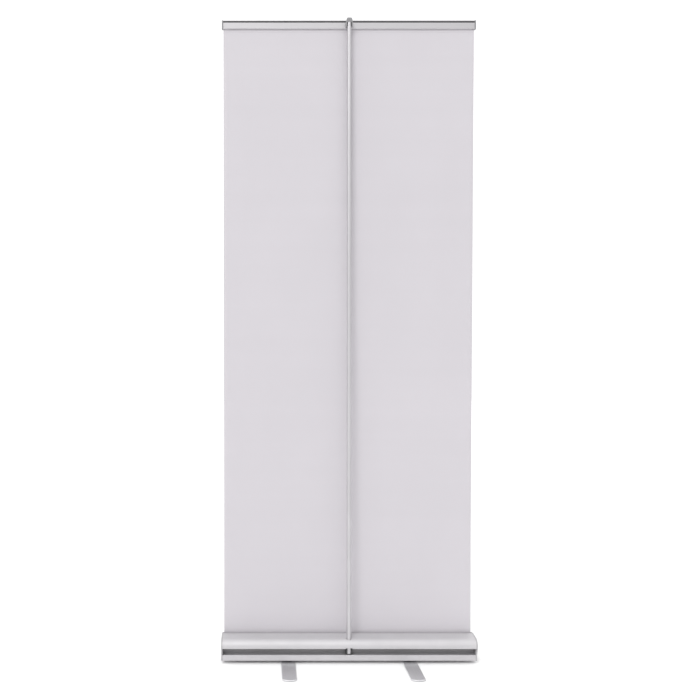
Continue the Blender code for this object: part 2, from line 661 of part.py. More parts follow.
def make_pole_sections(section_axes):
    """Make the pole's tubes and the ferrules that join them."""
    for index, (name, axis) in enumerate(zip(SECTION_NAMES, section_axes)):
        low = POLE_PLUG_FLANGE + TOUCH if index == 0 else 0
        high = low + SECTION_LENGTH
        tube = pipe(POLE_RADIUS, POLE_BORE, low, high)
        solid(f"pole_tube_{name}", tube, "silver aluminium", parent=axis, smooth=True)
        if name != SECTION_NAMES[-1]:
            ferrule_low = high + TOUCH / 2 - FERRULE_LENGTH / 2
            ferrule_high = ferrule_low + FERRULE_LENGTH
            ferrule = pipe(FERRULE_RADIUS, CORD_BORE, ferrule_low, ferrule_high, MEDIUM_SIDES)
            solid(f"pole_ferrule_{name}", ferrule, "zinc steel", parent=axis, smooth=True)


def make_pole_head(axis, foot):
    """Make the head: a block on a spigot in the tube, two legs that straddle the tube, and the hook.

    axis is the upper section's empty and foot is how far above the pole's foot it lies.
    """
    top = HEAD_TOP - foot
    low = top - HEAD_BLOCK_HEIGHT
    half, half_top = HEAD_WIDTH / 2, HEAD_TOP_WIDTH / 2
    taper = HEAD_BLOCK_HEIGHT / 3
    leg_inner = POLE_RADIUS + TOUCH
    leg_outer = leg_inner + HEAD_LEG_WALL
    leg_low = low - HEAD_LEG_LENGTH
    outline = [(-leg_outer, leg_low), (-leg_inner, leg_low), (-leg_inner, low), (leg_inner, low)]
    outline += [(leg_inner, leg_low), (leg_outer, leg_low), (leg_outer, low), (half, low + half - leg_outer)]
    outline += [(half, top - taper), (half_top, top), (-half_top, top), (-half, top - taper)]
    outline += [(-half, low + half - leg_outer), (-leg_outer, low)]
    shape = prism(outline, -HEAD_REACH, POLE_RADIUS)
    facing_rear = Matrix(((0, 1, 0, 0), (-1, 0, 0, 0), (0, 0, 1, 0), (0, 0, 0, 1)))
    bmesh.ops.transform(shape, matrix=facing_rear, verts=shape.verts)
    head = solid("pole_head", shape, "grey plastic", parent=axis)
    spigot = rod(FERRULE_RADIUS, low - HEAD_SPIGOT_LENGTH, low + HEAD_SPIGOT_LENGTH / 4, MEDIUM_SIDES)
    hook_z = HOOK_LEVEL - foot
    hook = box(
        (-HOOK_WIDTH / 2, 0, hook_z - HOOK_HEIGHT / 2),
        (HOOK_WIDTH / 2, HEAD_REACH + HOOK_REACH, hook_z + HOOK_HEIGHT / 2),
    )
    combine(head, [solid("head_spigot", spigot, parent=axis), solid("head_hook", hook, parent=axis)], "UNION")


def make_pole(pole_axis):
    """Make the pole from its foot to its head."""
    make_socket(pole_axis)
    bottom = POLE_PLUG_FLANGE + TOUCH
    axes = [pole_axis]
    rise = bottom + SECTION_PITCH
    for name in SECTION_NAMES[1:]:
        axes.append(empty_at(f"pole_{name}_joint", (0, 0, rise), parent=axes[-1]))
        rise = SECTION_PITCH
    make_pole_sections(axes)

    plug = FERRULE_RADIUS
    profile = [(0, 0), (POLE_RADIUS, 0), (POLE_RADIUS, POLE_PLUG_FLANGE), (plug, POLE_PLUG_FLANGE)]
    profile += [(plug, POLE_PLUG_LENGTH), (0, POLE_PLUG_LENGTH)]
    solid("pole_bottom_plug", turned(profile), "black plastic", parent=pole_axis, smooth=True)
    cord_top = HEAD_TOP - HEAD_BLOCK_HEIGHT - HEAD_SPIGOT_LENGTH - TOUCH
    cord = rod(CORD_DIAMETER / 2, POLE_PLUG_LENGTH + TOUCH, cord_top, CORD_SIDES)
    solid("pole_cord", cord, "elastic", parent=pole_axis, smooth=True)
    make_pole_head(axes[-1], bottom + (len(axes) - 1) * SECTION_PITCH)


# ---- Banner and top rail ----


def rail_outline():
    """Return the rail's section as (y, z) points, from the banner's plane and the rail's lower edge."""
    rear, front, top = -RAIL_BEHIND_BANNER, RAIL_BEFORE_BANNER, RAIL_HEIGHT
    cavity_top = top - GROOVE_BELOW_TOP - GROOVE_HEIGHT - 2 * RAIL_WALL
    groove_top = top - GROOVE_BELOW_TOP
    groove_low = groove_top - GROOVE_HEIGHT
    groove_floor = rear + GROOVE_DEPTH
    chamfer = RAIL_WALL / 2
    return [
        (-RAIL_SLOT, 0),
        (-RAIL_SLOT, RAIL_LIP),
        (rear + RAIL_WALL, RAIL_LIP),
        (rear + RAIL_WALL, cavity_top),
        (front - RAIL_WALL, cavity_top),
        (front - RAIL_WALL, RAIL_LIP),
        (RAIL_SLOT, RAIL_LIP),
        (RAIL_SLOT, 0),
        (front - chamfer, 0),
        (front, chamfer),
        (front, top - chamfer),
        (front - chamfer, top),
        (rear + chamfer, top),
        (rear, top - chamfer),
        (rear, groove_top - GROOVE_LIP),
        (rear + GROOVE_LIP, groove_top - GROOVE_LIP),
        (rear + GROOVE_LIP, groove_top),
        (groove_floor, groove_top),
        (groove_floor, groove_low),
        (rear, groove_low),
        (rear, chamfer),
        (rear + chamfer, 0),
    ]


def make_banner():
    """Make the banner, its top rail, the rail's caps and the strip that clamps the banner in the rail."""
    plane = empty_at("banner_plane", (0, TANGENT_Y, ROLLER_Z), BANNER_TILT)
    rail_foot = empty_at("rail_foot", (0, 0, RAIL_BOTTOM), parent=plane)
    half_film = BANNER_THICKNESS / 2
    tucked = RAIL_LIP + TOUCH + STRIP_HEIGHT
    film = box((-HALF_BANNER, -half_film, 0), (HALF_BANNER, half_film, RAIL_BOTTOM + tucked))
    solid("banner", film, "film", parent=plane)
    rail = prism(rail_outline(), -HALF_RAIL, HALF_RAIL)
    solid("top_rail", rail, "silver aluminium", parent=rail_foot)
    strip = box(
        (-HALF_BANNER, half_film + TOUCH, RAIL_LIP + TOUCH),
        (HALF_BANNER, half_film + TOUCH + STRIP_THICKNESS, RAIL_LIP + TOUCH + STRIP_HEIGHT),
    )
    solid("rail_clamp_strip", strip, "black plastic", parent=rail_foot)
    rear = -RAIL_BEHIND_BANNER - RAIL_CAP_PROUD
    front = RAIL_BEFORE_BANNER + RAIL_CAP_PROUD
    low, high = -RAIL_CAP_PROUD, RAIL_HEIGHT + RAIL_CAP_PROUD
    corners = [(rear, low, RAIL_WALL), (front, low, RAIL_WALL)]
    corners += [(front, high, RAIL_WALL), (rear, high, RAIL_WALL)]
    for side, name in ((-1, "left"), (1, "right")):
        ends = sorted((side * (HALF_RAIL + TOUCH), side * (HALF_RAIL + RAIL_CAP_THICKNESS)))
        cap = prism(round_corners(corners, closed=True), *ends)
        solid(f"rail_cap_{name}", cap, "grey plastic", parent=rail_foot, smooth=True)


def main():
    """Build the whole stand."""
    clear_scene()
    pole_axis = empty_at("pole_axis", (0, POLE_Y, POLE_FOOT_Z), POLE_LEAN)
    make_cassette(pole_axis)
    make_roller()
    make_foot("left", -1)
    make_foot("right", 1)
    make_pole(pole_axis)
    make_banner()


main()
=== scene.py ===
"""Roll-up banner stand, finished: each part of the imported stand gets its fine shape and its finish.

The stand is in metres, with +Z up, +X along the base and the banner's printed side towards +Y. A shape is
either a closed outline carried along an axis or a profile turned about one, worked out as whole arrays. Every
piece keeps its place in its mesh, so that its finish can read the object's own coordinates.
"""

import logging
import math
from collections.abc import Sequence
from dataclasses import dataclass, field
from enum import Enum

import bmesh
import bpy
import numpy as np
from mathutils import Matrix, Vector


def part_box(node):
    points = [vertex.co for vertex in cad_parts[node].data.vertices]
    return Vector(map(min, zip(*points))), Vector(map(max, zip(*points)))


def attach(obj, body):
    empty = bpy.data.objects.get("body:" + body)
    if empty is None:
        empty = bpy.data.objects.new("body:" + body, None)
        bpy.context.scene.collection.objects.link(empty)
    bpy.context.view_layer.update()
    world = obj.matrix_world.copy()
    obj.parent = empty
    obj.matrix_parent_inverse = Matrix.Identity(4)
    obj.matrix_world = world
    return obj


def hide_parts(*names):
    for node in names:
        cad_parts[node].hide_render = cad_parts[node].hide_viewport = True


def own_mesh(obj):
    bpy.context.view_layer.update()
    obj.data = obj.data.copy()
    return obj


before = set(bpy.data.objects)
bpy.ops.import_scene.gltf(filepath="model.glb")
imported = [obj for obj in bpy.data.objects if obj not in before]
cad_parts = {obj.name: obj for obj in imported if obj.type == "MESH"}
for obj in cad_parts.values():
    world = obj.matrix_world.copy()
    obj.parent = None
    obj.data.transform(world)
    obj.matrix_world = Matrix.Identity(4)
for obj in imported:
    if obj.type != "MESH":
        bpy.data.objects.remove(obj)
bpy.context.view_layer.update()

log = logging.getLogger("banner_stand")

Colour = tuple[float, float, float]
Corners = Sequence[tuple[float, float, float]]
Span = tuple[float, float]

# How finely shapes are made
SAG = 0.00002  # how far an arc's chords may lie inside it
FEWEST_STEPS = 3
MOST_STEPS = 24
ARC_ROOM = 0.98  # the share of a side that its two arcs may take up
MARGIN = 0.0006  # from an arc to the support line beside it
EDGE_STEPS = 4
SMOOTH_BELOW = math.radians(38)
ROUND_SIDES = 72
SMALL_SIDES = 48
TINY = 1e-9
CORE = 0.0004  # the radius left out round the axis of a turned solid

# How far two faces bend, as one minus the product of their normals
FLAT_BEND, BEND_RANGE, SHARP_BEND = 0.012, 0.02, 0.25

# Where most of a noise's values lie, and the ends of a share that rises or falls with it
NOISE_BODY = (0.3, 0.7)
RISING, FALLING = (0.0, 1.0), (1.0, 0.0)

# Where a mix node keeps its two colours and its result
MIX_FIRST, MIX_SECOND, MIX_RESULT = 6, 7, 2

# Fits shared by the sub-assemblies
TOUCH = 0.0003
MERGE = TOUCH / 100  # points nearer than this are one
POLE_RADIUS = 0.00725
POLE_LEAN = math.radians(0.40)
POLE_FOOT = (0.0, -0.030849, 0.0306)


class Axis(Enum):
    """The axis that an outline is carried along, as the order in which (a, b, along) become (x, y, z)."""

    X = (2, 0, 1)
    Y = (0, 2, 1)
    Z = (0, 1, 2)


class Grain(Enum):
    """The way in which a metal was drawn or rolled, as stretching of its grain along x, y and z."""

    ALONG_X = (6.0, 1400.0, 1400.0)
    ALONG_Y = (1400.0, 6.0, 1400.0)
    ALONG_Z = (1400.0, 1400.0, 6.0)
    TURNED = (500.0, 500.0, 500.0)


class Slot(Enum):
    """The material slots of the stand's record."""

    CASSETTE = "cassette_aluminium"
    POLE = "pole_aluminium"
    FOOT = "foot_aluminium"
    ZINC = "zinc_steel"
    SPRING = "spring_steel"
    GREY = "grey_plastic"
    BLACK = "black_plastic"
    RUBBER = "rubber"
    FILM = "banner_film"
    ELASTIC = "elastic"


# ---- Shapes ----


def rounded(corners: Corners, closed: bool = True) -> np.ndarray:
    """Round an outline's corners.

    An arc is its centre plus its radius times (cos a, sin a), with a running evenly between the two points
    where it meets the sides. The centre lies on the bisector, at the radius over the sine of half the
    corner's angle. A support point follows on each side, so that the flats beside an arc stay flat.

    Args:
        corners: each corner as (a, b, radius).
        closed: whether the last corner joins the first.

    Returns:
        The outline's points, as an (n, 2) array.
    """
    table = np.array(corners, float)
    spots = table[:, :2]
    before = np.roll(spots, 1, axis=0) - spots
    after = np.roll(spots, -1, axis=0) - spots
    length_before = np.linalg.norm(before, axis=1)
    length_after = np.linalg.norm(after, axis=1)
    before /= length_before[:, None]
    after /= length_after[:, None]
    half = np.arccos(np.clip((before * after).sum(axis=1), -1, 1)) / 2
    reach = table[:, 2] / np.tan(half)
    if not closed:
        reach[[0, -1]] = 0
    wanted_before = reach + np.roll(reach, 1) + TINY
    wanted_after = reach + np.roll(reach, -1) + TINY
    room = np.minimum(length_before / wanted_before, length_after / wanted_after)
    reach = reach * np.minimum(1, ARC_ROOM * room)
    slack_before = np.clip((length_before - reach - np.roll(reach, 1)) / 3, 0, MARGIN)
    slack_after = np.clip((length_after - reach - np.roll(reach, -1)) / 3, 0, MARGIN)
    runs = []
    for index, spot in enumerate(spots):
        if reach[index] <= 0:
            runs.append(spot[None])
            continue
        radius = reach[index] * math.tan(half[index])
        bisector = before[index] + after[index]
        centre = spot + bisector / np.linalg.norm(bisector) * radius / math.sin(half[index])
        first = spot + before[index] * reach[index] - centre
        last = spot + after[index] * reach[index] - centre
        start = math.atan2(first[1], first[0])
        turn = math.remainder(math.atan2(last[1], last[0]) - start, 2 * math.pi)
        steps = int(np.clip(math.ceil(abs(turn) / math.sqrt(8 * SAG / radius)), FEWEST_STEPS, MOST_STEPS))
        angles = start + turn * np.linspace(0, 1, steps + 1)
        arc = centre + radius * np.stack([np.cos(angles), np.sin(angles)], axis=1)
        lead_in = arc[:1] + before[index] * slack_before[index]
        lead_out = arc[-1:] + after[index] * slack_after[index]
        runs += [lead_in, arc, lead_out]
    points = np.vstack(runs)
    gaps = np.linalg.norm(points - np.roll(points, 1, axis=0), axis=1)
    return points[gaps > MERGE]


def offset(corners: Corners, distance: float, closed: bool = True) -> list[tuple[float, float, float]]:
    """Move an outline's corners to its left by a distance, and keep each rounding concentric.

    Args:
        corners: each corner as (a, b, radius).
        distance: how far the sides move.
        closed: whether the last corner joins the first.

    Returns:
        The moved corners.
    """
    table = np.array(corners, float)
    spots = table[:, :2]
    leaving = np.roll(spots, -1, axis=0) - spots
    leaving /= np.linalg.norm(leaving, axis=1)[:, None]
    arriving = np.roll(leaving, 1, axis=0)
    if not closed:
        arriving[0] = leaving[0]
        leaving[-1] = arriving[-1]
    left_before = np.stack([-arriving[:, 1], arriving[:, 0]], axis=1)
    left_after = np.stack([-leaving[:, 1], leaving[:, 0]], axis=1)
    share = distance / (1 + (left_before * left_after).sum(axis=1))
    moved = spots + (left_before + left_after) * share[:, None]
    turns_left = arriving[:, 0] * leaving[:, 1] - arriving[:, 1] * leaving[:, 0] > 0
    radii = np.where(turns_left, table[:, 2] - distance, table[:, 2] + distance)
    radii = np.where(table[:, 2] > 0, np.maximum(radii, TOUCH), 0)
    return [tuple(row) for row in np.column_stack([moved, radii]).tolist()]


def anticlockwise(outline: np.ndarray) -> np.ndarray:
    """Return an outline in anticlockwise order, judged by the sum of its sides' cross products."""
    following = np.roll(outline, -1, axis=0)
    area = (outline[:, 0] * following[:, 1] - outline[:, 1] * following[:, 0]).sum()
    return outline if area > 0 else outline[::-1]


def inset(outline: np.ndarray, distance: float) -> np.ndarray:
    """Shrink an anticlockwise outline: a point moves by its sides' normals over one plus their product."""
    side = np.roll(outline, -1, axis=0) - outline
    side /= np.linalg.norm(side, axis=1)[:, None]
    normal = np.stack([-side[:, 1], side[:, 0]], axis=1)
    previous = np.roll(normal, 1, axis=0)
    share = distance / (1 + (normal * previous).sum(axis=1))
    return outline + (normal + previous) * share[:, None]


def carried(
    outline: np.ndarray,
    ends: tuple[float, float],
    edges: tuple[float, float],
    axis: Axis,
    margin: float = MARGIN,
) -> np.ndarray:
    """Carry a closed outline along an axis, with rounded edges at its two ends.

    At an end with edge radius e, the outline at angle t is inset by e (1 - sin t) and lies e (1 - cos t) in
    from the end, with t from 0 to a right angle.

    Args:
        outline: the outline's points, as an (n, 2) array.
        ends: where the piece starts and stops along the axis.
        edges: the edge radius at each end, or 0 for a plain end.
        axis: the axis that the outline is carried along.
        margin: from a rounded edge to the support line beside it.

    Returns:
        Rings of points, as a (rows, n, 3) array.
    """
    outline = anticlockwise(outline)
    insets, places = [], []
    for end, edge, inward in ((ends[0], edges[0], 1), (ends[1], edges[1], -1)):
        depth, place = np.zeros(1), np.zeros(1)
        if edge:
            angles = np.linspace(0, math.pi / 2, EDGE_STEPS + 1)
            depth = np.concatenate([[edge + margin], edge * (1 - np.sin(angles)), [0]])
            place = np.concatenate([[0], edge * (1 - np.cos(angles)), [edge + margin]])
        insets.append(depth[::inward])
        places.append(end + inward * place[::inward])
    rings = [inset(outline, depth) for depth in np.concatenate(insets)]
    third = np.broadcast_to(np.concatenate(places)[:, None, None], (len(rings), len(outline), 1))
    return np.concatenate([np.stack(rings), third], axis=2)[:, :, axis.value]


def turned(profile: np.ndarray, sides: int = ROUND_SIDES, axis: Axis = Axis.Z) -> np.ndarray:
    """Turn a profile about an axis: a point (r, h) becomes (r cos t, r sin t, h), with t running once round.

    Args:
        profile: points as (radius, height along the axis), an (n, 2) array.
        sides: the number of steps round.
        axis: the axis of turning.

    Returns:
        Rings of points, as an (n, sides, 3) array.
    """
    angle = 2 * math.pi * np.arange(sides) / sides
    radius = profile[:, 0][:, None]
    height = np.broadcast_to(profile[:, 1][:, None], (len(profile), sides))
    return np.stack([radius * np.cos(angle), radius * np.sin(angle), height], axis=2)[:, :, axis.value]


def band(inner: float, outer: float, ends: tuple[float, float], edges: tuple[float, float]) -> Corners:
    """Return a ring's section between two radii and two heights, with its inner and outer edges rounded."""
    (low, high), (inside, outside) = ends, edges
    return [(inner, low, inside), (outer, low, outside), (outer, high, outside), (inner, high, inside)]


def box(sides: tuple[float, float, float, float], corner: float = 0.0) -> np.ndarray:
    """Return a rectangle from its left, right, low and high sides, with its corners rounded."""
    left, right, low, high = sides
    spots = ((left, low), (right, low), (right, high), (left, high))
    return rounded([(*spot, corner) for spot in spots])


def leaning(origin: Sequence[float], angle: float) -> Matrix:
    """Return the placement of something that stands at origin and leans back by angle, towards -Y."""
    return Matrix.Translation(Vector(origin)) @ Matrix.Rotation(angle, 4, "X")


def along(placement: Matrix, distance: float) -> Matrix:
    """Return a placement moved by a distance along its own Z axis."""
    return placement @ Matrix.Translation((0, 0, distance))


def grid_faces(rows: int, columns: int, ring: bool) -> list[list[int]]:
    """List the faces between rings of points.

    The face at row i and column j joins points (i, j), (i, j + 1), (i + 1, j + 1) and (i + 1, j). Columns
    close on themselves, and so do the rows of a ring. Otherwise one face closes each end.
    """
    row = np.arange(rows if ring else rows - 1)[:, None]
    column = np.arange(columns)[None, :]
    here, beyond = row * columns, (row + 1) % rows * columns
    following = (column + 1) % columns
    quads = np.stack([here + column, here + following, beyond + following, beyond + column], axis=2)
    faces = quads.reshape(-1, 4).tolist()
    if not ring:
        faces.append(list(range(columns))[::-1])
        faces.append(list(range((rows - 1) * columns, rows * columns)))
    return faces


def piece_of(
    name: str,
    rings: np.ndarray,
    placement: Matrix | None = None,
    ring: bool = False,
) -> bpy.types.Object:
    """Make a closed object from rings of points, with its place in its mesh.

    Args:
        name: the object's name.
        rings: the points, as a (rows, columns, 3) array.
        placement: where the points go, if they aren't in the stand's own frame.
        ring: whether the last row joins the first, as on a pipe.

    Returns:
        The new object, at the origin.
    """
    mesh = bpy.data.meshes.new(name)
    faces = grid_faces(rings.shape[0], rings.shape[1], ring)
    mesh.from_pydata(rings.reshape(-1, 3).tolist(), [], faces)
    if placement is not None:
        mesh.transform(placement)
    shape = bmesh.new()
    shape.from_mesh(mesh)
    bmesh.ops.recalc_face_normals(shape, faces=shape.faces)
    shape.to_mesh(mesh)
    shape.free()
    piece = bpy.data.objects.new(name, mesh)
    bpy.context.scene.collection.objects.link(piece)
    return piece


def carve(piece: bpy.types.Object, cutters: Sequence[bpy.types.Object]) -> bpy.types.Object:
    """Cut solids out of a piece in one exact Boolean, and keep the result as its mesh."""
    group = bpy.data.collections.new(f"{piece.name}_cutters")
    for cutter in cutters:
        bpy.context.scene.collection.objects.unlink(cutter)
        group.objects.link(cutter)
    bpy.context.scene.collection.children.link(group)
    boolean = piece.modifiers.new("Carve", "BOOLEAN")
    boolean.operation = "DIFFERENCE"
    boolean.solver = "EXACT"
    boolean.operand_type = "COLLECTION"
    boolean.collection = group
    bpy.context.view_layer.update()
    result = bpy.data.meshes.new_from_object(piece.evaluated_get(bpy.context.evaluated_depsgraph_get()))
    piece.modifiers.clear()
    plain, piece.data = piece.data, result
    bpy.data.meshes.remove(plain)
    for cutter in cutters:
        bpy.data.objects.remove(cutter)
    bpy.data.collections.remove(group)
    return piece


def mark_edges(mesh: bpy.types.Mesh) -> None:
    """Store how much each point is an outer edge, for the finishes to wear it.

    Two faces that share a side bend by one minus the product of their normals. A point's value grows with the
    largest bend beside it. Nearly flat joins and sharp, sheltered ones count as nothing.
    """
    loops, polygons = len(mesh.loops), len(mesh.polygons)
    edge_of = np.empty(loops, np.int32)
    mesh.loops.foreach_get("edge_index", edge_of)
    totals = np.empty(polygons, np.int32)
    mesh.polygons.foreach_get("loop_total", totals)
    normals = np.empty(polygons * 3, np.float32)
    mesh.polygons.foreach_get("normal", normals)
    ends = np.empty(len(mesh.edges) * 2, np.int32)
    mesh.edges.foreach_get("vertices", ends)
    normals, ends = normals.reshape(-1, 3), ends.reshape(-1, 2)
    face_of = np.repeat(np.arange(polygons), totals)
    order = np.argsort(edge_of, kind="stable")
    edges, faces = edge_of[order], face_of[order]
    shared = edges[:-1] == edges[1:]
    bend = 1 - (normals[faces[:-1][shared]] * normals[faces[1:][shared]]).sum(axis=1)
    bend = np.where(bend < SHARP_BEND, np.clip((bend - FLAT_BEND) / BEND_RANGE, 0, 1), 0)
    wear = np.zeros(len(mesh.vertices), np.float32)
    np.maximum.at(wear, ends[edges[:-1][shared]].ravel(), np.repeat(bend, 2))
    mesh.attributes.new("edge", "FLOAT", "POINT").data.foreach_set("value", wear)


# ---- Finishes ----


class Tree:
    """The nodes of one material, on the object's own coordinates."""

    def __init__(self, name: str) -> None:
        """Start a material with its shader."""
        self.material = bpy.data.materials.new(name)
        self.material.use_nodes = True
        self.shader = self.material.node_tree.nodes["Principled BSDF"]
        self.place = self.add("ShaderNodeTexCoord").outputs["Object"]

    def add(self, kind: str, **settings: object) -> bpy.types.Node:
        """Add a node of a kind, with its settings."""
        node = self.material.node_tree.nodes.new(kind)
        for name, value in settings.items():
            setattr(node, name, value)
        return node

    def feed(self, socket: bpy.types.NodeSocket, value: object) -> None:
        """Link an output to a socket, or set the socket's own value."""
        if isinstance(value, bpy.types.NodeSocket):
            self.material.node_tree.links.new(value, socket)
        elif isinstance(value, tuple) and len(value) == 3 and socket.type == "RGBA":
            socket.default_value = (*value, 1.0)
        else:
            socket.default_value = value

    def set(self, **values: object) -> None:
        """Set the shader's sockets, named with underscores for spaces."""
        for name, value in values.items():
            self.feed(self.shader.inputs[name.replace("_", " ")], value)

    def noise(self, scale: tuple[float, float, float], detail: float = 3.0) -> bpy.types.NodeSocket:
        """Return noise with so many cells a metre along x, y and z."""
        node = self.add("ShaderNodeTexNoise")
        node.inputs["Scale"].default_value = 1.0
        node.inputs["Detail"].default_value = detail
        mapping = self.add("ShaderNodeMapping")
        mapping.inputs["Scale"].default_value = scale
        self.feed(mapping.inputs["Vector"], self.place)
        self.feed(node.inputs["Vector"], mapping.outputs["Vector"])
        return node.outputs["Fac"]

    def cells(self, scale: float) -> bpy.types.NodeSocket:
        """Return one random grey for each cell, with so many cells a metre."""
        node = self.add("ShaderNodeTexVoronoi")
        node.inputs["Scale"].default_value = scale
        self.feed(node.inputs["Vector"], self.place)
        grey = self.add("ShaderNodeRGBToBW")
        self.feed(grey.inputs["Color"], node.outputs["Color"])
        return grey.outputs["Val"]

    def wave(self, direction: str, scale: float) -> bpy.types.NodeSocket:
        """Return even bands across x, y or z, with scale setting how close they are."""
        node = self.add("ShaderNodeTexWave", bands_direction=direction)
        node.inputs["Scale"].default_value = scale
        self.feed(node.inputs["Vector"], self.place)
        return node.outputs["Fac"]

    def ranged(self, value: object, source: Span, target: Span = RISING) -> bpy.types.NodeSocket:
        """Carry a value from one range to another, and hold it inside."""
        node = self.add("ShaderNodeMapRange")
        self.feed(node.inputs["Value"], value)
        for name, number in zip(("From Min", "From Max", "To Min", "To Max"), source + target):
            node.inputs[name].default_value = number
        return node.outputs["Result"]

    def sums(self, operation: str, first: object, second: object) -> bpy.types.NodeSocket:
        """Return two values added, multiplied or otherwise put together."""
        node = self.add("ShaderNodeMath", operation=operation)
        self.feed(node.inputs[0], first)
        self.feed(node.inputs[1], second)
        return node.outputs[0]

    def mixed(self, share: object, first: object, second: object) -> bpy.types.NodeSocket:
        """Return two colours mixed by a share."""
        node = self.add("ShaderNodeMix", data_type="RGBA")
        self.feed(node.inputs["Factor"], share)
        self.feed(node.inputs[MIX_FIRST], first)
        self.feed(node.inputs[MIX_SECOND], second)
        return node.outputs[MIX_RESULT]

    def edge(self) -> bpy.types.NodeSocket:
        """Return the piece's stored edge value, broken up by fine noise."""
        node = self.add("ShaderNodeAttribute", attribute_name="edge")
        patches = self.ranged(self.noise((160.0, 160.0, 160.0)), (0.35, 0.62), (0.15, 1.0))
        return self.sums("MULTIPLY", node.outputs["Fac"], patches)

    def bumped(self, height: object, distance: float, strength: float = 1.0) -> None:
        """Raise the surface by a height, on top of the bumps that it has already."""
        node = self.add("ShaderNodeBump")
        node.inputs["Distance"].default_value = distance
        node.inputs["Strength"].default_value = strength
        self.feed(node.inputs["Height"], height)
        if self.shader.inputs["Normal"].links:
            self.feed(node.inputs["Normal"], self.shader.inputs["Normal"].links[0].from_socket)
        self.feed(self.shader.inputs["Normal"], node.outputs["Normal"])


def shade(colour: Colour, share: float) -> Colour:
    """Return a colour made darker or lighter by a share."""
    return tuple(min(1.0, part * share) for part in colour)


@dataclass(frozen=True)
class Finish:
    """A finish with a colour and a roughness, which its kinds refine."""

    slot: Slot
    colour: Colour
    roughness: float
    tag: str = field(default="finish", kw_only=True)

    def name(self) -> str:
        """Return the material's name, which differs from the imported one's."""
        return f"{self.slot.value}_{self.tag}"

    def material(self) -> bpy.types.Material:
        """Return the finish's material, made once."""
        known = bpy.data.materials.get(self.name())
        if known is not None:
            return known
        tree = Tree(self.name())
        self.lay_on(tree)
        return tree.material

    def lay_on(self, tree: Tree) -> None:
        """Fill a material's nodes."""
        tree.set(Base_Color=self.colour, Roughness=self.roughness)


@dataclass(frozen=True)
class DrawnMetal(Finish):
    """Metal with the fine lines of its drawing or rolling, handling marks and brighter worn edges."""

    grain: Grain = Grain.ALONG_X
    lines: float = 0.06
    depth: float = 0.000012
    metallic: float = 1.0
    smudge_roughness: float = 0.09
    smudge_tone: float = 0.93
    line_tone: float = 0.88
    scratch_tone: float = 1.12
    worn_tone: float = 1.2

    def lay_on(self, tree: Tree) -> None:
        """Grain shifts roughness and height, smudges darken, sparse scratches and edges brighten."""
        grain = tree.noise(self.grain.value, 4.0)
        smudge = tree.noise((9.0, 9.0, 9.0), 4.0)
        scratch_scale = tuple(part * 0.35 + 3 for part in self.grain.value)
        scratches = tree.ranged(tree.noise(scratch_scale, 2.0), (0.66, 0.72))
        low, high = self.roughness - self.lines, self.roughness + self.lines
        roughness = tree.ranged(grain, NOISE_BODY, (low, high))
        smudged = tree.ranged(smudge, (0.42, 0.68), (0.0, self.smudge_roughness))
        tree.set(Roughness=tree.sums("ADD", roughness, smudged))
        base = tree.mixed(tree.ranged(smudge, (0.35, 0.7)), self.colour, shade(self.colour, self.smudge_tone))
        lines = tree.ranged(grain, (0.35, 0.65), (0.0, 0.35))
        lined = tree.mixed(lines, base, shade(self.colour, self.line_tone))
        marks = tree.sums("MULTIPLY", scratches, 0.3)
        scratched = tree.mixed(marks, lined, shade(self.colour, self.scratch_tone))
        rubbed = tree.sums("MULTIPLY", tree.edge(), 0.55)
        worn = tree.mixed(rubbed, scratched, shade(self.colour, self.worn_tone))
        tree.set(Base_Color=worn, Metallic=self.metallic)
        tree.bumped(grain, self.depth, 0.6)
        tree.bumped(scratches, 0.00001, 0.4)


@dataclass(frozen=True)
class RecessShadedMetal(DrawnMetal):
    """Drawn metal with painted shade inside a recess that runs along its rear, standing in for the recess's
    shadow.
    """

    # the share of the colour that is left in the recess's painted shade
    recess_shade: float = 0.55
    back: tuple[float, float] = (-0.0480, -0.0360)
    floor: tuple[float, float] = (0.0296, 0.0312)
    ceiling: tuple[float, float] = (0.0480, 0.0560)
    wall: tuple[float, float] = (-0.0190, -0.0180)

    def lay_on(self, tree: Tree) -> None:
        """Paint shade on the metal where its place lies between the recess's mouth, floor, ceiling and wall.
        """
        super().lay_on(tree)
        place = tree.add("ShaderNodeSeparateXYZ")
        tree.feed(place.inputs["Vector"], tree.place)
        depth, height = place.outputs["Y"], place.outputs["Z"]
        inside = tree.ranged(depth, self.back)
        inside = tree.sums("MULTIPLY", inside, tree.ranged(depth, self.wall, FALLING))
        between = tree.ranged(height, self.floor)
        between = tree.sums("MULTIPLY", between, tree.ranged(height, self.ceiling, FALLING))
        share = tree.sums("MULTIPLY", inside, between)
        plain = tree.shader.inputs["Base Color"].links[0].from_socket
        # painted shade: the recess is darkened to stand in for its shadow
        tree.set(Base_Color=tree.mixed(share, plain, shade(self.colour, self.recess_shade)))


@dataclass(frozen=True)
class PlatedSteel(Finish):
    """Steel with a thin bright plating, whose grains show as faint facets."""

    def lay_on(self, tree: Tree) -> None:
        """Cells vary the grey, and noise the roughness."""
        cells = tree.cells(900.0)
        clouds = tree.noise((220.0, 220.0, 220.0))
        base = tree.mixed(cells, shade(self.colour, 0.84), self.colour)
        tinted = tree.mixed(tree.ranged(clouds, (0.4, 0.7), (0.0, 0.35)), base, (0.60, 0.56, 0.44))
        worn = tree.mixed(tree.sums("MULTIPLY", tree.edge(), 0.5), tinted, shade(self.colour, 1.2))
        rough = tree.ranged(clouds, NOISE_BODY, (self.roughness - 0.07, self.roughness + 0.1))
        tree.set(Base_Color=worn, Metallic=1.0, Roughness=rough)
        tree.bumped(cells, 0.000006, 0.5)


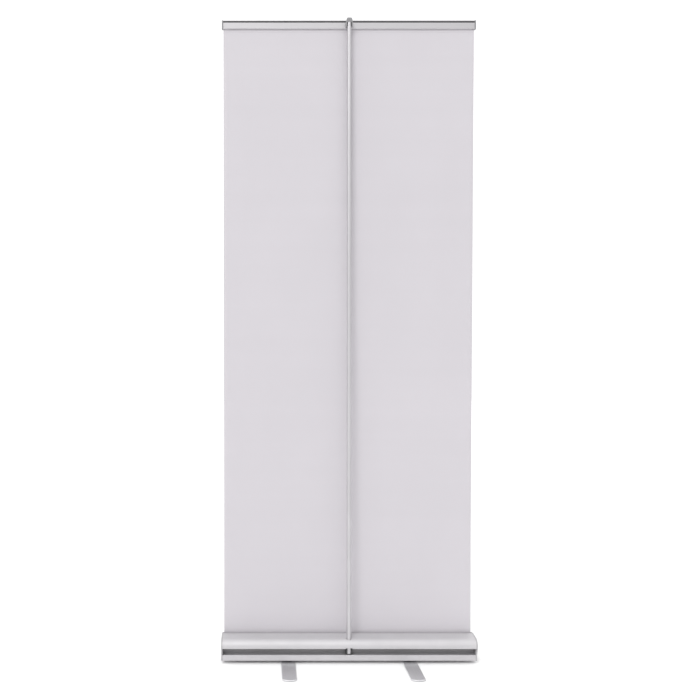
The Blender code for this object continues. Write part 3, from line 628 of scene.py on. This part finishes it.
@dataclass(frozen=True)
class MouldedPlastic(Finish):
    """Plastic with the fine texture of its mould, and edges rubbed paler and smoother."""

    texture: float = 1500.0

    def lay_on(self, tree: Tree) -> None:
        """Fine noise makes the texture, coarse noise the patches, and the edges are paler."""
        fine = tree.noise((self.texture,) * 3, 2.0)
        coarse = tree.noise((45.0,) * 3)
        base = tree.mixed(tree.ranged(coarse, NOISE_BODY), shade(self.colour, 0.92), self.colour)
        specks = tree.mixed(tree.ranged(fine, (0.5, 0.75), (0.0, 0.3)), base, shade(self.colour, 1.25))
        rubbed = tree.mixed(tree.sums("MULTIPLY", tree.edge(), 0.35), specks, shade(self.colour, 1.5))
        rough = tree.ranged(coarse, NOISE_BODY, (self.roughness - 0.06, self.roughness + 0.06))
        grainy = tree.ranged(fine, (0.4, 0.7), (0.0, 0.05))
        tree.set(Base_Color=rubbed, Roughness=tree.sums("ADD", rough, grainy))
        tree.bumped(fine, 0.00003, 0.55)


@dataclass(frozen=True)
class Rubber(Finish):
    """Dull rubber with a fine grain and a little dust."""

    def lay_on(self, tree: Tree) -> None:
        """Noise makes grain, and dust lies where coarser noise is high and on the edges."""
        grain = tree.noise((1100.0,) * 3, 3.0)
        dust = tree.ranged(tree.noise((120.0,) * 3, 4.0), (0.5, 0.72), (0.0, 0.5))
        dusty = tree.mixed(dust, self.colour, (0.13, 0.125, 0.12))
        tree.set(Base_Color=tree.mixed(tree.sums("MULTIPLY", tree.edge(), 0.4), dusty, (0.16, 0.155, 0.15)))
        tree.set(Roughness=tree.ranged(grain, NOISE_BODY, (self.roughness - 0.1, self.roughness + 0.08)))
        tree.bumped(grain, 0.00006, 0.6)


@dataclass(frozen=True)
class Film(Finish):
    """The banner's plain back: a pale film on a fine scrim, with the faint bands that the roller leaves."""

    scrim: float = 420.0
    # the height of the painted shade line at the tape's edge
    shade_line_height: float = 2.1085

    def lay_on(self, tree: Tree) -> None:
        """Two sets of bands make the scrim, stretched noise the roller's, and a darker line is painted shade
        at the tape's edge.
        """
        threads = tree.sums("ADD", tree.wave("X", self.scrim), tree.wave("Z", self.scrim))
        bands = tree.noise((0.6, 1.0, 17.0), 2.0)
        clouds = tree.noise((5.0, 5.0, 3.0), 4.0)
        specks = tree.ranged(tree.noise((650.0,) * 3, 2.0), (0.62, 0.75), (0.0, 0.25))
        base = tree.mixed(tree.ranged(clouds, NOISE_BODY), shade(self.colour, 0.975), self.colour)
        banded = tree.mixed(tree.ranged(bands, (0.35, 0.65), (0.0, 0.35)), base, shade(self.colour, 0.96))
        speckled = tree.mixed(specks, banded, shade(self.colour, 0.93))
        height = tree.add("ShaderNodeSeparateXYZ")
        tree.feed(height.inputs["Vector"], tree.place)
        # painted shade: a darker line across the film at the tape's edge, for the shadow of its step under
        # the rail
        gap = tree.sums("ABSOLUTE", tree.sums("SUBTRACT", height.outputs["Z"], self.shade_line_height), 0.0)
        line = tree.ranged(gap, (0.0006, 0.0016), (0.35, 0.0))
        tree.set(Base_Color=tree.mixed(line, speckled, shade(self.colour, 0.80)))
        tree.set(Roughness=tree.ranged(clouds, NOISE_BODY, (self.roughness - 0.05, self.roughness + 0.06)))
        tree.bumped(threads, 0.00002, 0.35)
        tree.bumped(bands, 0.0006, 0.5)


@dataclass(frozen=True)
class Braid(Finish):
    """A braided sleeve over rubber."""

    def lay_on(self, tree: Tree) -> None:
        """Bands across two axes make the braid's crossings."""
        crossing = tree.sums("MULTIPLY", tree.wave("Z", 300.0), tree.wave("X", 500.0))
        tree.set(Base_Color=tree.mixed(crossing, self.colour, shade(self.colour, 4.0)))
        tree.set(Roughness=tree.ranged(crossing, (0.0, 1.0), (self.roughness, self.roughness - 0.15)))
        tree.bumped(crossing, 0.0001, 0.6)


SILVER = DrawnMetal(Slot.CASSETTE, (0.575, 0.565, 0.58), 0.38)
# the housing's finish, with painted shade in the undercut along its rear
HOUSING_SILVER = RecessShadedMetal(
    Slot.CASSETTE, (0.54, 0.53, 0.545), 0.50, metallic=0.35, tag="housing", recess_shade=0.44,
    ceiling=(0.0440, 0.0560),
)
# the rail's finish, with painted shade in the groove along its rear
RAIL_SILVER = RecessShadedMetal(
    Slot.CASSETTE, (0.55, 0.54, 0.555), 0.40, metallic=0.85, tag="rail", recess_shade=0.22,
    back=(-0.0352, -0.0348), floor=(2.1383, 2.1386), ceiling=(2.1444, 2.1447), wall=(-0.0310, -0.0308),
)
POLE_SILVER = DrawnMetal(Slot.POLE, (0.57, 0.56, 0.575), 0.44, Grain.ALONG_Z, metallic=0.85)
FOOT_SILVER = DrawnMetal(Slot.FOOT, (0.78, 0.78, 0.79), 0.42, Grain.ALONG_Y, 0.07, 0.00002)
ZINC = PlatedSteel(Slot.ZINC, (0.62, 0.64, 0.66), 0.34)
SPRING = DrawnMetal(Slot.SPRING, (0.30, 0.30, 0.32), 0.32, Grain.TURNED)
GREY = MouldedPlastic(Slot.GREY, (0.225, 0.223, 0.230), 0.46)
PALE_GREY = MouldedPlastic(Slot.GREY, (0.40, 0.395, 0.405), 0.46, tag="pale")
BLACK = MouldedPlastic(Slot.BLACK, (0.040, 0.040, 0.042), 0.42)
RUBBER = Rubber(Slot.RUBBER, (0.028, 0.028, 0.029), 0.84)
FILM = Film(Slot.FILM, (0.515, 0.494, 0.523), 0.50)
ELASTIC = Braid(Slot.ELASTIC, (0.02, 0.02, 0.022), 0.85)


# ---- Sub-assemblies ----


@dataclass
class Assembly:
    """Pieces that are made and dressed together, and ride on one body unless they name another."""

    body: str

    def dress(self, piece: bpy.types.Object, finish: Finish, *nodes: str, body: str = "") -> bpy.types.Object:
        """Give a finished shape its shading, finish, body and slot.

        Args:
            piece: the object, at the origin with its place in its mesh.
            finish: what its surface is.
            nodes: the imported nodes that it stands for.
            body: the body that it rides on, if it isn't the assembly's own.

        Returns:
            The same object.
        """
        mark_edges(piece.data)
        piece.data.shade_smooth()
        piece.data.set_sharp_from_angle(angle=SMOOTH_BELOW)
        weighted = piece.modifiers.new("Normals", "WEIGHTED_NORMAL")
        weighted.keep_sharp = True
        piece.data.materials.clear()
        piece.data.materials.append(finish.material())
        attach(piece, body or self.body)
        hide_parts(*nodes)
        log.info("%s: %d faces, for %s", piece.name, len(piece.data.polygons), ", ".join(nodes))
        return piece

    def repaint(self, finish: Finish, *nodes: str) -> None:
        """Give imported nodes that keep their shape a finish."""
        for node in nodes:
            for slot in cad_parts[node].material_slots:
                slot.material = finish.material()
            log.info("%s: keeps its shape, in %s", node, finish.slot.value)

    def copies(
        self,
        source: bpy.types.Object,
        finish: Finish,
        places: Sequence[tuple[str, Matrix, str]],
    ) -> None:
        """Dress copies of a piece, each given as the node it stands for, its placement and its body."""
        for node, placement, body in places:
            mesh = source.data.copy()
            mesh.transform(placement)
            piece = bpy.data.objects.new(f"{node}_fine", mesh)
            bpy.context.scene.collection.objects.link(piece)
            self.dress(piece, finish, node, body=body)
        bpy.data.objects.remove(source)


@dataclass
class Cassette(Assembly):
    """The extruded housing, its end caps and their screws."""

    body: str = "base"
    half_housing: float = 0.4215
    cap_inner: float = 0.4218
    cap_outer: float = 0.4265
    wall: float = 0.0016
    cap_edge: float = 0.0011
    cap_proud: float = 0.0004
    ports: tuple[tuple[float, float], ...] = ((-0.0171, 0.07988), (-0.0340, 0.01565), (0.03495, 0.0519))
    screw_seat: float = 0.4240
    screw_head: float = 0.0035
    screw_height: float = 0.0022
    screw_recess: float = 0.0038
    recess_depth: float = 0.0028
    cross_width: float = 0.0009
    cross_reach: float = 0.0019
    cross_depth: float = 0.0013
    hole_radius: float = 0.0085
    window_half: float = 0.01155
    window_z: Span = (0.03045, 0.0564)
    window_corner: float = 0.0008
    screw_radius: float = 0.0018
    screw_length: float = 0.0160
    screw_core: float = 0.0003
    screw_turns: tuple[float, float] = (0.3, 0.5)

    def outer_corners(self) -> list[tuple[float, float, float]]:
        """Return the housing's outer path in (y, z), from the slot's rear lip round to its front lip."""
        return [
            (0.01075, 0.08740, 0),
            (-0.05090, 0.08110, 0.024),
            (-0.05090, 0.05400, 0.0032),
            (-0.02180, 0.04700, 0.0016),
            (-0.02180, 0.03030, 0.0008),
            (-0.04040, 0.03030, 0.0024),
            (-0.04040, 0.01100, 0.0024),
            (0.03960, 0.01100, 0.0032),
            (0.03960, 0.08480, 0.0115),
            (0.02625, 0.08480, 0),
        ]

    def section(self) -> np.ndarray:
        """Return the wall's section: the outer path out, and the same path inside the wall back again."""
        lip = 0.45 * self.wall
        outer = self.outer_corners()
        inner = offset(outer, self.wall, closed=False)
        ends = [(y, z, lip) for y, z, _ in (outer[0], outer[-1])]
        inner_ends = [(y, z, lip) for y, z, _ in (inner[-1], inner[0])]
        loop = [ends[0], *outer[1:-1], ends[1], inner_ends[0], *inner[1:-1][::-1], inner_ends[1]]
        return rounded(loop)

    def housing(self) -> None:
        """Make the housing, with the pole's round hole in the top and the window under it."""
        ends = (-self.half_housing, self.half_housing)
        housing = piece_of("cassette_housing_fine", carried(self.section(), ends, (0, 0), Axis.X))
        hole = turned(np.array([(self.hole_radius, 0.0237), (self.hole_radius, 0.0874)]))
        drill = piece_of("pole_hole", hole, leaning(POLE_FOOT, POLE_LEAN))
        half, (low, high), corner = self.window_half, self.window_z, self.window_corner
        opening = rounded([(-half, low, 0), (half, low, 0), (half, high, corner), (-half, high, corner)])
        window = piece_of("pole_window", carried(opening, (-0.0512, -0.0194), (0, 0), Axis.Y))
        self.dress(carve(housing, [drill, window]), HOUSING_SILVER, "cassette_housing")

    def cap_outline(self) -> np.ndarray:
        """Return the end cap's outline: the housing's, without its undercut and its slot, a little proud."""
        corners = self.outer_corners()
        kept = [(y, z, radius or self.wall) for y, z, radius in corners[:3] + corners[5:]]
        return rounded(offset(kept, -self.cap_proud))

    def cap(self, name: str, side: int) -> None:
        """Make an end cap with its three screw recesses. side is -1 or 1."""
        ends = sorted((side * self.cap_inner, side * self.cap_outer))
        edges = (self.cap_edge, 0) if side < 0 else (0, self.cap_edge)
        cap = piece_of(f"{name}_fine", carried(self.cap_outline(), tuple(ends), edges, Axis.X))
        floor = side * (self.cap_outer - self.recess_depth)
        beyond = side * (self.cap_outer + self.wall)
        cutters = []
        for index, (y, z) in enumerate(self.ports):
            depths = np.array([(self.screw_recess, floor), (self.screw_recess, beyond)])
            drill = turned(depths, SMALL_SIDES, Axis.X)
            cutters.append(piece_of(f"{name}_recess_{index}", drill, Matrix.Translation((0, y, z))))
        self.dress(carve(cap, cutters), PALE_GREY, name)

    def screw(self, side: int) -> bpy.types.Object:
        """Make a screw on the X axis, with a domed head and a cross recess. side is -1 or 1."""
        rim, height, shank = self.screw_head, self.screw_height, self.screw_radius
        dome = rounded([
            (shank, -self.screw_length, 0), (shank, 0, 0), (rim, 0, 0.0003), (rim, height / 2, 0.0006),
            (rim * 0.62, height, 0.0012), (self.screw_core, height, 0),
        ], closed=False)
        dome[:, 1] *= side
        screw = piece_of("screw", turned(dome, SMALL_SIDES, Axis.X))
        half, reach = self.cross_width / 2, self.cross_reach
        ends = tuple(sorted((side * (height - self.cross_depth), side * (height + self.wall))))
        slots = []
        for index, (wide, tall) in enumerate(((half, reach), (reach, half))):
            outline = box((-wide, wide, -tall, tall))
            slots.append(piece_of(f"slot_{index}", carried(outline, ends, (0, 0), Axis.X)))
        return carve(carve(screw, slots[:1]), slots[1:])

    def build(self) -> None:
        """Make the cassette's shell."""
        self.housing()
        for name, side in (("left", -1), ("right", 1)):
            self.cap(f"end_cap_{name}", side)
            places = []
            first, step = self.screw_turns
            for index, (y, z) in enumerate(self.ports):
                turn = Matrix.Rotation(step * index + first, 4, "X")
                place = Matrix.Translation((side * self.screw_seat, y, z)) @ turn
                places.append((f"end_cap_screw_{name}_{index + 1}", place, self.body))
            self.copies(self.screw(side), ZINC, places)


@dataclass
class Works(Assembly):
    """The roller and what is inside it."""

    body: str = "roller"

    def build(self) -> None:
        """Give the roller's parts their finishes."""
        self.repaint(SILVER, "roller_tube")
        self.repaint(FILM, "wound_leader")
        self.repaint(BLACK, "roller_bush_left", "roller_plug_right", "spring_anchor")
        self.repaint(SPRING, "torsion_spring")
        self.repaint(ZINC, "spindle")


@dataclass
class Foot(Assembly):
    """One swivelling foot: its bar, pads, spacer and bolt."""

    name: str = "left"
    pivot_x: float = -0.203
    length: float = 0.393
    width: float = 0.046
    low: float = 0.0023
    high: float = 0.0060
    end_radius: float = 0.0315
    corner_radius: float = 0.004
    edge: float = 0.0009
    pad_radius: float = 0.013
    pad_height: float = 0.002
    pad_inset: float = 0.024
    spacer_radius: float = 0.015
    spacer_z: Span = (0.0063, 0.0107)
    hole_radius: float = 0.0034
    bolt_radius: float = 0.0030
    bolt_head: float = 0.0080
    bolt_head_z: Span = (0.0008, 0.0020)
    bolt_top: float = 0.0207
    washer_radius: float = 0.0070
    washer_z: Span = (0.0129, 0.0139)

    def outline(self) -> np.ndarray:
        """Return the bar's outline in (x, y): straight sides, shallow round ends and softened corners.

        An end is an arc of the end radius, from minus to plus the angle whose sine is the half width over it.
        """
        sweep = math.asin(self.width / 2 / self.end_radius)
        angle = np.linspace(sweep, -sweep, 25)
        centre = self.length / 2 - self.end_radius
        end = np.stack([self.end_radius * np.sin(angle), centre + self.end_radius * np.cos(angle)], axis=1)
        soft = np.concatenate([[self.corner_radius], np.zeros(23), [self.corner_radius]])
        loop = np.column_stack([np.vstack([end, -end]), np.concatenate([soft, soft])])
        return rounded([tuple(row) for row in loop.tolist()])

    def turned_part(
        self,
        corners: Corners,
        node: str,
        finish: Finish,
        y: float = 0.0,
        ring: bool = False,
    ) -> None:
        """Make a part turned about an upright axis through (pivot_x, y), for a node."""
        place = Matrix.Translation((self.pivot_x, y, 0))
        self.dress(piece_of(f"{node}_fine", turned(rounded(corners, closed=ring)), place, ring), finish, node)

    def build(self) -> None:
        """Make the foot."""
        bar = carried(self.outline(), (self.low, self.high), (self.edge / 2, self.edge), Axis.Z)
        place = Matrix.Translation((self.pivot_x, 0, 0))
        self.dress(piece_of(f"foot_bar_{self.name}_fine", bar, place), FOOT_SILVER, f"foot_bar_{self.name}")
        radius, height = self.pad_radius, self.pad_height
        reach = self.length / 2 - self.pad_inset
        for end, y in (("rear", -reach), ("front", reach)):
            groove = [(0.0060, 0, 0), (0.0063, 0.0005, 0.0002), (0.0072, 0.0005, 0.0002), (0.0075, 0, 0.0001)]
            rim = [(radius - 0.0006, 0, 0.0004), (radius, 0.0007, 0.0004), (radius - 0.0003, height, 0.0003)]
            corners = [(CORE, 0, 0), *groove, *rim, (CORE, height, 0)]
            self.turned_part(corners, f"foot_pad_{self.name}_{end}", RUBBER, y)
        spacer = band(self.hole_radius, self.spacer_radius, self.spacer_z, (0.0002, 0.0005))
        self.turned_part(spacer, f"foot_spacer_{self.name}", BLACK, ring=True)
        (low, high), top, rim = self.bolt_head_z, self.bolt_top, self.bolt_head
        head = [(CORE, low, 0), (rim - 0.0008, low, 0.0004), (rim, 0.0014, 0.0003), (rim, high, 0.0002)]
        shank = [(self.bolt_radius, high, 0), (self.bolt_radius, top, 0.0006), (CORE, top, 0)]
        self.turned_part(head + shank, f"foot_bolt_{self.name}", ZINC)
        washer = band(self.hole_radius, self.washer_radius, self.washer_z, (0.0002, 0.0003))
        self.turned_part(washer, f"foot_washer_{self.name}", ZINC, ring=True)
        self.repaint(ZINC, f"foot_nut_{self.name}")


@dataclass
class Pole(Assembly):
    """The pole's three tubes, their ferrules, the socket and the head."""

    body: str = "pole_lower"
    radius: float = POLE_RADIUS
    bore: float = 0.00635
    plug_flange: float = 0.003
    pitch: float = 0.69985
    length: float = 0.69955
    ferrule_radius: float = 0.00605
    ferrule_bore: float = 0.00485
    ferrule_length: float = 0.076
    ferrule_bevel: float = 0.0007
    tube_lip: float = 0.00035
    plug_radius: float = 0.00605
    plug_length: float = 0.020
    socket_gap: float = 0.0004
    socket_corner: float = 0.0014
    top: float = 2.11735
    block_height: float = 0.0145
    leg_length: float = 0.012
    leg_wall: float = 0.0033
    half_width: float = 0.0095
    half_top: float = 0.0070
    reach: float = 0.0088
    hook_half: float = 0.006
    hook_half_height: float = 0.0020
    hook_level: float = 2.11035
    hook_reach: float = 0.0100
    hook_root: float = 0.002
    hook_edge: float = 0.0006

    def upright(self, node: str, corners: Corners, finish: Finish, body: str = "", ring: bool = True) -> None:
        """Make a part turned about the pole's leaning axis, for a node. A ring has a bore."""
        shape = turned(rounded(corners, closed=ring))
        piece = piece_of(f"{node}_fine", shape, leaning(POLE_FOOT, POLE_LEAN), ring)
        self.dress(piece, finish, node, body=body)

    def tube(self, index: int, name: str) -> None:
        """Make one tube, a closed ring in section with slightly rounded ends."""
        low = self.plug_flange + TOUCH + index * self.pitch
        ring = band(self.bore, self.radius, (low, low + self.length), (self.tube_lip, self.tube_lip))
        self.upright(f"pole_tube_{name}", ring, POLE_SILVER, f"pole_{name}")

    def ferrule(self, index: int, name: str) -> None:
        """Make one ferrule, with bevelled ends."""
        middle = self.plug_flange + (index + 1) * self.pitch + TOUCH / 2
        low, high = middle - self.ferrule_length / 2, middle + self.ferrule_length / 2
        bore, outer, bevel = self.ferrule_bore, self.ferrule_radius, self.ferrule_bevel
        ring = [(bore, low, 0.0002), (outer - bevel / 2, low, 0.0002), (outer, low + bevel, 0.0004)]
        ring += [(outer, high - bevel, 0.0004), (outer - bevel / 2, high, 0.0002), (bore, high, 0.0002)]
        self.upright(f"pole_ferrule_{name}", ring, ZINC, f"pole_{name}")

    def foot_plug(self) -> None:
        """Make the plug in the pole's foot, with a rounded rim."""
        flange, stem, top = self.plug_flange, self.plug_radius, self.plug_length
        profile = [(CORE, 0, 0), (self.radius, 0, 0.0009), (self.radius, flange, 0.0004)]
        profile += [(stem, flange, 0), (stem, top, 0.001), (CORE, top, 0)]
        self.upright("pole_bottom_plug", profile, BLACK, ring=False)

    def socket(self) -> None:
        """Make the guide block, a rounded U in plan whose bore is an arc about the pole's centre."""
        low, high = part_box("pole_socket")
        bore, corner = self.radius + self.socket_gap, self.socket_corner
        centre = POLE_FOOT[1]
        half_gap = math.acos((centre - low.y) / bore)
        angle = np.linspace(1.5 * math.pi - half_gap, -0.5 * math.pi + half_gap, 33)
        arc = np.stack([bore * np.cos(angle), centre + bore * np.sin(angle)], axis=1)
        outside = rounded([
            (arc[-1, 0], low.y, 0), (high.x, low.y, corner), (high.x, high.y, corner),
            (low.x, high.y, corner), (low.x, low.y, corner), (arc[0, 0], low.y, 0),
        ], closed=False)
        plan = np.vstack([arc, outside[1:-1]])
        block = carried(plan, (low.z, high.z), (0.0003, 0.0005), Axis.Z)
        self.dress(piece_of("pole_socket_fine", block), BLACK, "pole_socket", body="base")

    def head(self) -> None:
        """Make the head: a tapered block on two legs beside the tube, and the hook for the rail."""
        low = self.top - self.block_height
        inner = self.radius + TOUCH
        outer = inner + self.leg_wall
        foot = low - self.leg_length
        shoulder = low + 0.0012
        right = [(inner, low, 0.0006), (inner, foot, 0.0010)]
        right += [(outer, foot, 0.0014), (outer, shoulder, 0.0010)]
        right += [(self.half_width, self.top - 0.0048, 0.003), (self.half_top, self.top, 0.0026)]
        left = [(-x, z, radius) for x, z, radius in right[::-1]]
        block = carried(rounded(right + left), (-self.reach, self.radius), (0.0007, 0.0007), Axis.Y, 0.0002)
        facing_rear = Matrix.Scale(-1, 4, (0, 1, 0))
        place = leaning(POLE_FOOT, POLE_LEAN)
        head = piece_of("pole_head_fine", block, place @ facing_rear)
        self.dress(head, GREY, "pole_head", body="pole_upper")
        half, half_height, edge = self.hook_half, self.hook_half_height, self.hook_edge
        corners = box((-half, half, -half_height, half_height), edge)
        ends = (self.reach - self.hook_root, self.hook_reach)
        hook = carried(corners, ends, (0, edge / 2), Axis.Y, edge / 4)
        piece = piece_of("pole_hook_fine", hook, along(place, self.hook_level))
        self.dress(piece, GREY, body="pole_upper")

    def build(self) -> None:
        """Make the pole."""
        self.socket()
        self.foot_plug()
        for index, name in enumerate(("lower", "middle", "upper")):
            self.tube(index, name)
        for index, name in enumerate(("lower", "middle")):
            self.ferrule(index, name)
        self.repaint(ELASTIC, "pole_cord")
        self.head()


@dataclass
class Rail(Assembly):
    """The top rail, its caps and the strip that clamps the banner."""

    body: str = "rail"
    foot: tuple[float, float, float] = (0.0, -0.028951, 2.118408)
    tilt: float = 0.0238055
    half_length: float = 0.4193
    behind: float = 0.0055
    before: float = 0.0065
    height: float = 0.028
    wall: float = 0.0012
    slot: float = 0.00055
    lip: float = 0.005
    groove_depth: float = 0.0034
    groove_height: float = 0.0058
    groove_below_top: float = 0.0020
    cap_end: float = 0.4243
    cap_proud: float = 0.0006
    cap_corner: float = 0.0018

    def section(self) -> np.ndarray:
        """Return the rail's section in (y, z), from the banner's plane and the rail's lower edge."""
        rear, front, top, wall = -self.behind, self.before, self.height, self.wall
        groove_top = top - self.groove_below_top
        cavity_top = groove_top - self.groove_height - 2 * wall
        soft, fine = 0.0011, 0.0003
        return rounded([
            (-self.slot, 0, fine), (-self.slot, self.lip, fine), (rear + wall, self.lip, fine),
            (rear + wall, cavity_top, fine), (front - wall, cavity_top, fine), (front - wall, self.lip, fine),
            (self.slot, self.lip, fine), (self.slot, 0, fine), (front, 0, soft), (front, top, soft),
            (rear, top, soft / 2), (rear, groove_top - wall, fine), (rear + wall, groove_top - wall, fine),
            (rear + wall, groove_top, fine), (rear + self.groove_depth, groove_top, fine),
            (rear + self.groove_depth, groove_top - self.groove_height, fine),
            (rear, groove_top - self.groove_height, fine), (rear, 0, soft),
        ])

    def build(self) -> None:
        """Make the rail and its caps."""
        place = leaning(self.foot, self.tilt)
        ends = (-self.half_length, self.half_length)
        rail = piece_of("top_rail_fine", carried(self.section(), ends, (0, 0), Axis.X), place)
        self.dress(rail, RAIL_SILVER, "top_rail")
        rear, front = -self.behind - self.cap_proud, self.before + self.cap_proud
        low, high = -self.cap_proud, self.height + self.cap_proud
        outline = box((rear, front, low, high), self.cap_corner)
        for name, side in (("left", -1), ("right", 1)):
            stations = tuple(sorted((side * (self.half_length + TOUCH), side * self.cap_end)))
            edges = (0.001, 0.0003) if side < 0 else (0.0003, 0.001)
            cap = piece_of(f"rail_cap_{name}_fine", carried(outline, stations, edges, Axis.X), place)
            self.dress(cap, GREY, f"rail_cap_{name}")
        self.repaint(BLACK, "rail_clamp_strip")


@dataclass
class Banner(Assembly):
    """The banner: one sheet from the roller up into the rail, with gentle waves and curled side edges."""

    body: str = "rail"
    width: float = 0.838
    length: float = 2.0811
    thickness: float = 0.0004
    tangent: tuple[float, float, float] = (0.0, 0.02025, 0.0519)
    tilt: float = 0.0238055
    rail_foot: float = 2.06709
    still_low: float = 0.060
    travel: float = 2.03
    wave_height: float = 0.0013
    curl_width: float = 0.011
    curl_height: float = 0.0020
    still_high: float = 0.012
    rise_length: float = 0.30
    fall_length: float = 0.22
    crowding: float = 1.3
    waves: Corners = ((7.1, 1.1, 0.6), (11.3, -2.3, 2.0), (3.4, 4.1, 4.0))
    columns: int = 160
    rows: int = 360

    def surface(self) -> np.ndarray:
        """Return the sheet's closed shell as rings, in the banner's plane with its foot at the origin.

        A point at (x, z) stands forward by e (h (1 + w) / 2 + c s^2). The envelope e rises smoothly from 0 at
        the slot and at the rail. The wave w is the mean of three slow sines in x and z, h is the wave height,
        c is the curl height, and s falls from 1 at a side edge to 0 at the curl's width. Each ring runs along
        the front and back again.
        """
        x = np.linspace(-0.5, 0.5, self.columns + 1)
        x = self.width * np.sign(x) * (0.5 - 0.5 * (1 - 2 * np.abs(x)) ** self.crowding)
        z = np.linspace(0, self.length, self.rows + 1)
        z_grid, x_grid = np.meshgrid(z, x, indexing="ij")
        rise = np.clip((z_grid - self.still_low) / self.rise_length, 0, 1)
        fall = np.clip((self.rail_foot - self.still_high - z_grid) / self.fall_length, 0, 1)
        envelope = rise**2 * (3 - 2 * rise) * fall**2 * (3 - 2 * fall)
        wave = sum(np.sin(across * x_grid + up * z_grid + start) for across, up, start in self.waves) / 3
        share = np.clip(1 - (self.width / 2 - np.abs(x_grid)) / self.curl_width, 0, 1)
        forward = envelope * (self.wave_height * (1 + wave) / 2 + self.curl_height * share**2)
        front = np.stack([x_grid, forward + self.thickness / 2, z_grid], axis=2)
        back = np.stack([x_grid, forward - self.thickness / 2, z_grid], axis=2)
        return np.concatenate([front, back[:, ::-1]], axis=1)

    def build(self) -> None:
        """Make the banner, riding on the rail's body."""
        banner = piece_of("banner_fine", self.surface(), leaning(self.tangent, self.tilt))
        self.dress(banner, FILM, "banner")
        banner.modifiers.clear()
        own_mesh(banner)


# ---- Studio ----


@dataclass
class Studio:
    """A pale floor, soft light from the upper left and the camera behind the stand."""

    floor_size: float = 60.0
    floor_grey: float = 0.93
    floor_roughness: float = 0.9
    sensor: float = 36.0
    eye: tuple[float, float, float] = (-0.280, -2.680, 0.953)
    lens: float = 40.78
    shift: tuple[float, float] = (0.1214, 0.0400)
    low_light: tuple[float, float] = (0.62, 1.12)
    high_light: tuple[float, float] = (1.32, 1.20)
    key_strength: float = 1.25
    key_spread: float = 24.0
    key_height: float = 40.0
    key_turn: float = 28.0

    def floor(self) -> None:
        """Lay a plain pale floor."""
        half = self.floor_size / 2
        mesh = bpy.data.meshes.new("floor")
        corners = [(-half, -half, 0), (half, -half, 0), (half, half, 0), (-half, half, 0)]
        mesh.from_pydata(corners, [], [(0, 1, 2, 3)])
        floor = bpy.data.objects.new("floor", mesh)
        bpy.context.scene.collection.objects.link(floor)
        material = bpy.data.materials.new("floor_paint")
        material.use_nodes = True
        shader = material.node_tree.nodes["Principled BSDF"]
        shader.inputs["Base Color"].default_value = (*(self.floor_grey,) * 3, 1.0)
        shader.inputs["Roughness"].default_value = self.floor_roughness
        shader.inputs["Specular IOR Level"].default_value = 0.0
        mesh.materials.append(material)

    def sun(self) -> None:
        """Light the stand with one broad soft beam from the upper left, on the camera's side."""
        light = bpy.data.lights.new("key", "SUN")
        light.energy = self.key_strength
        light.angle = math.radians(self.key_spread)
        lamp = bpy.data.objects.new("key", light)
        height, turn = math.radians(self.key_height), math.radians(self.key_turn)
        level = math.cos(height)
        source = Vector((-math.sin(turn) * level, -math.cos(turn) * level, math.sin(height)))
        lamp.rotation_euler = (-source).to_track_quat("-Z", "Y").to_euler()
        bpy.context.scene.collection.objects.link(lamp)

    @staticmethod
    def graded(
        tree: bpy.types.NodeTree,
        value: bpy.types.NodeSocket,
        source: Span,
        target: Sequence[object],
    ) -> bpy.types.NodeSocket:
        """Carry a value from one range to another. The second range's ends are numbers or outputs."""
        node = tree.nodes.new("ShaderNodeMapRange")
        tree.links.new(value, node.inputs["Value"])
        for name, end in zip(("From Min", "From Max", "To Min", "To Max"), (*source, *target)):
            if isinstance(end, float):
                node.inputs[name].default_value = end
            else:
                tree.links.new(end, node.inputs[name])
        return node.outputs["Result"]

    def sky(self) -> None:
        """Surround the stand with white light, dimmer low down on the camera's side."""
        world = bpy.data.worlds.new("studio")
        world.use_nodes = True
        tree = world.node_tree
        direction = tree.nodes.new("ShaderNodeSeparateXYZ")
        tree.links.new(tree.nodes.new("ShaderNodeTexCoord").outputs["Generated"], direction.inputs["Vector"])
        behind = direction.outputs["Y"]
        low = self.graded(tree, behind, (-0.35, 0.25), self.low_light)
        high = self.graded(tree, behind, (-0.35, 0.35), self.high_light)
        strength = self.graded(tree, direction.outputs["Z"], (0.05, 0.80), (low, high))
        background = tree.nodes["Background"]
        tree.links.new(strength, background.inputs["Strength"])
        background.inputs["Color"].default_value = (1.0, 1.0, 1.0, 1.0)
        bpy.context.scene.world = world
        bpy.context.scene.view_settings.view_transform = "Standard"

    def camera(self) -> None:
        """Set the camera level behind the stand."""
        data = bpy.data.cameras.new("camera")
        data.lens = self.lens
        data.sensor_width = self.sensor
        data.shift_x, data.shift_y = self.shift
        camera = bpy.data.objects.new("camera", data)
        camera.location = self.eye
        camera.rotation_euler = (math.pi / 2, 0, 0)
        bpy.context.scene.collection.objects.link(camera)
        bpy.context.scene.camera = camera

    def build(self) -> None:
        """Set up the studio."""
        self.floor()
        self.sky()
        self.sun()
        self.camera()


def main() -> None:
    """Make the whole stand and its studio, and log each piece as it is made."""
    logging.basicConfig(level=logging.INFO, format="%(message)s")
    Studio().build()
    Cassette().build()
    Works().build()
    Foot(body="foot_left", name="left", pivot_x=-0.203).build()
    Foot(body="foot_right", name="right", pivot_x=0.203).build()
    Pole().build()
    Rail().build()
    Banner().build()


if __name__ == "__main__":
    main()
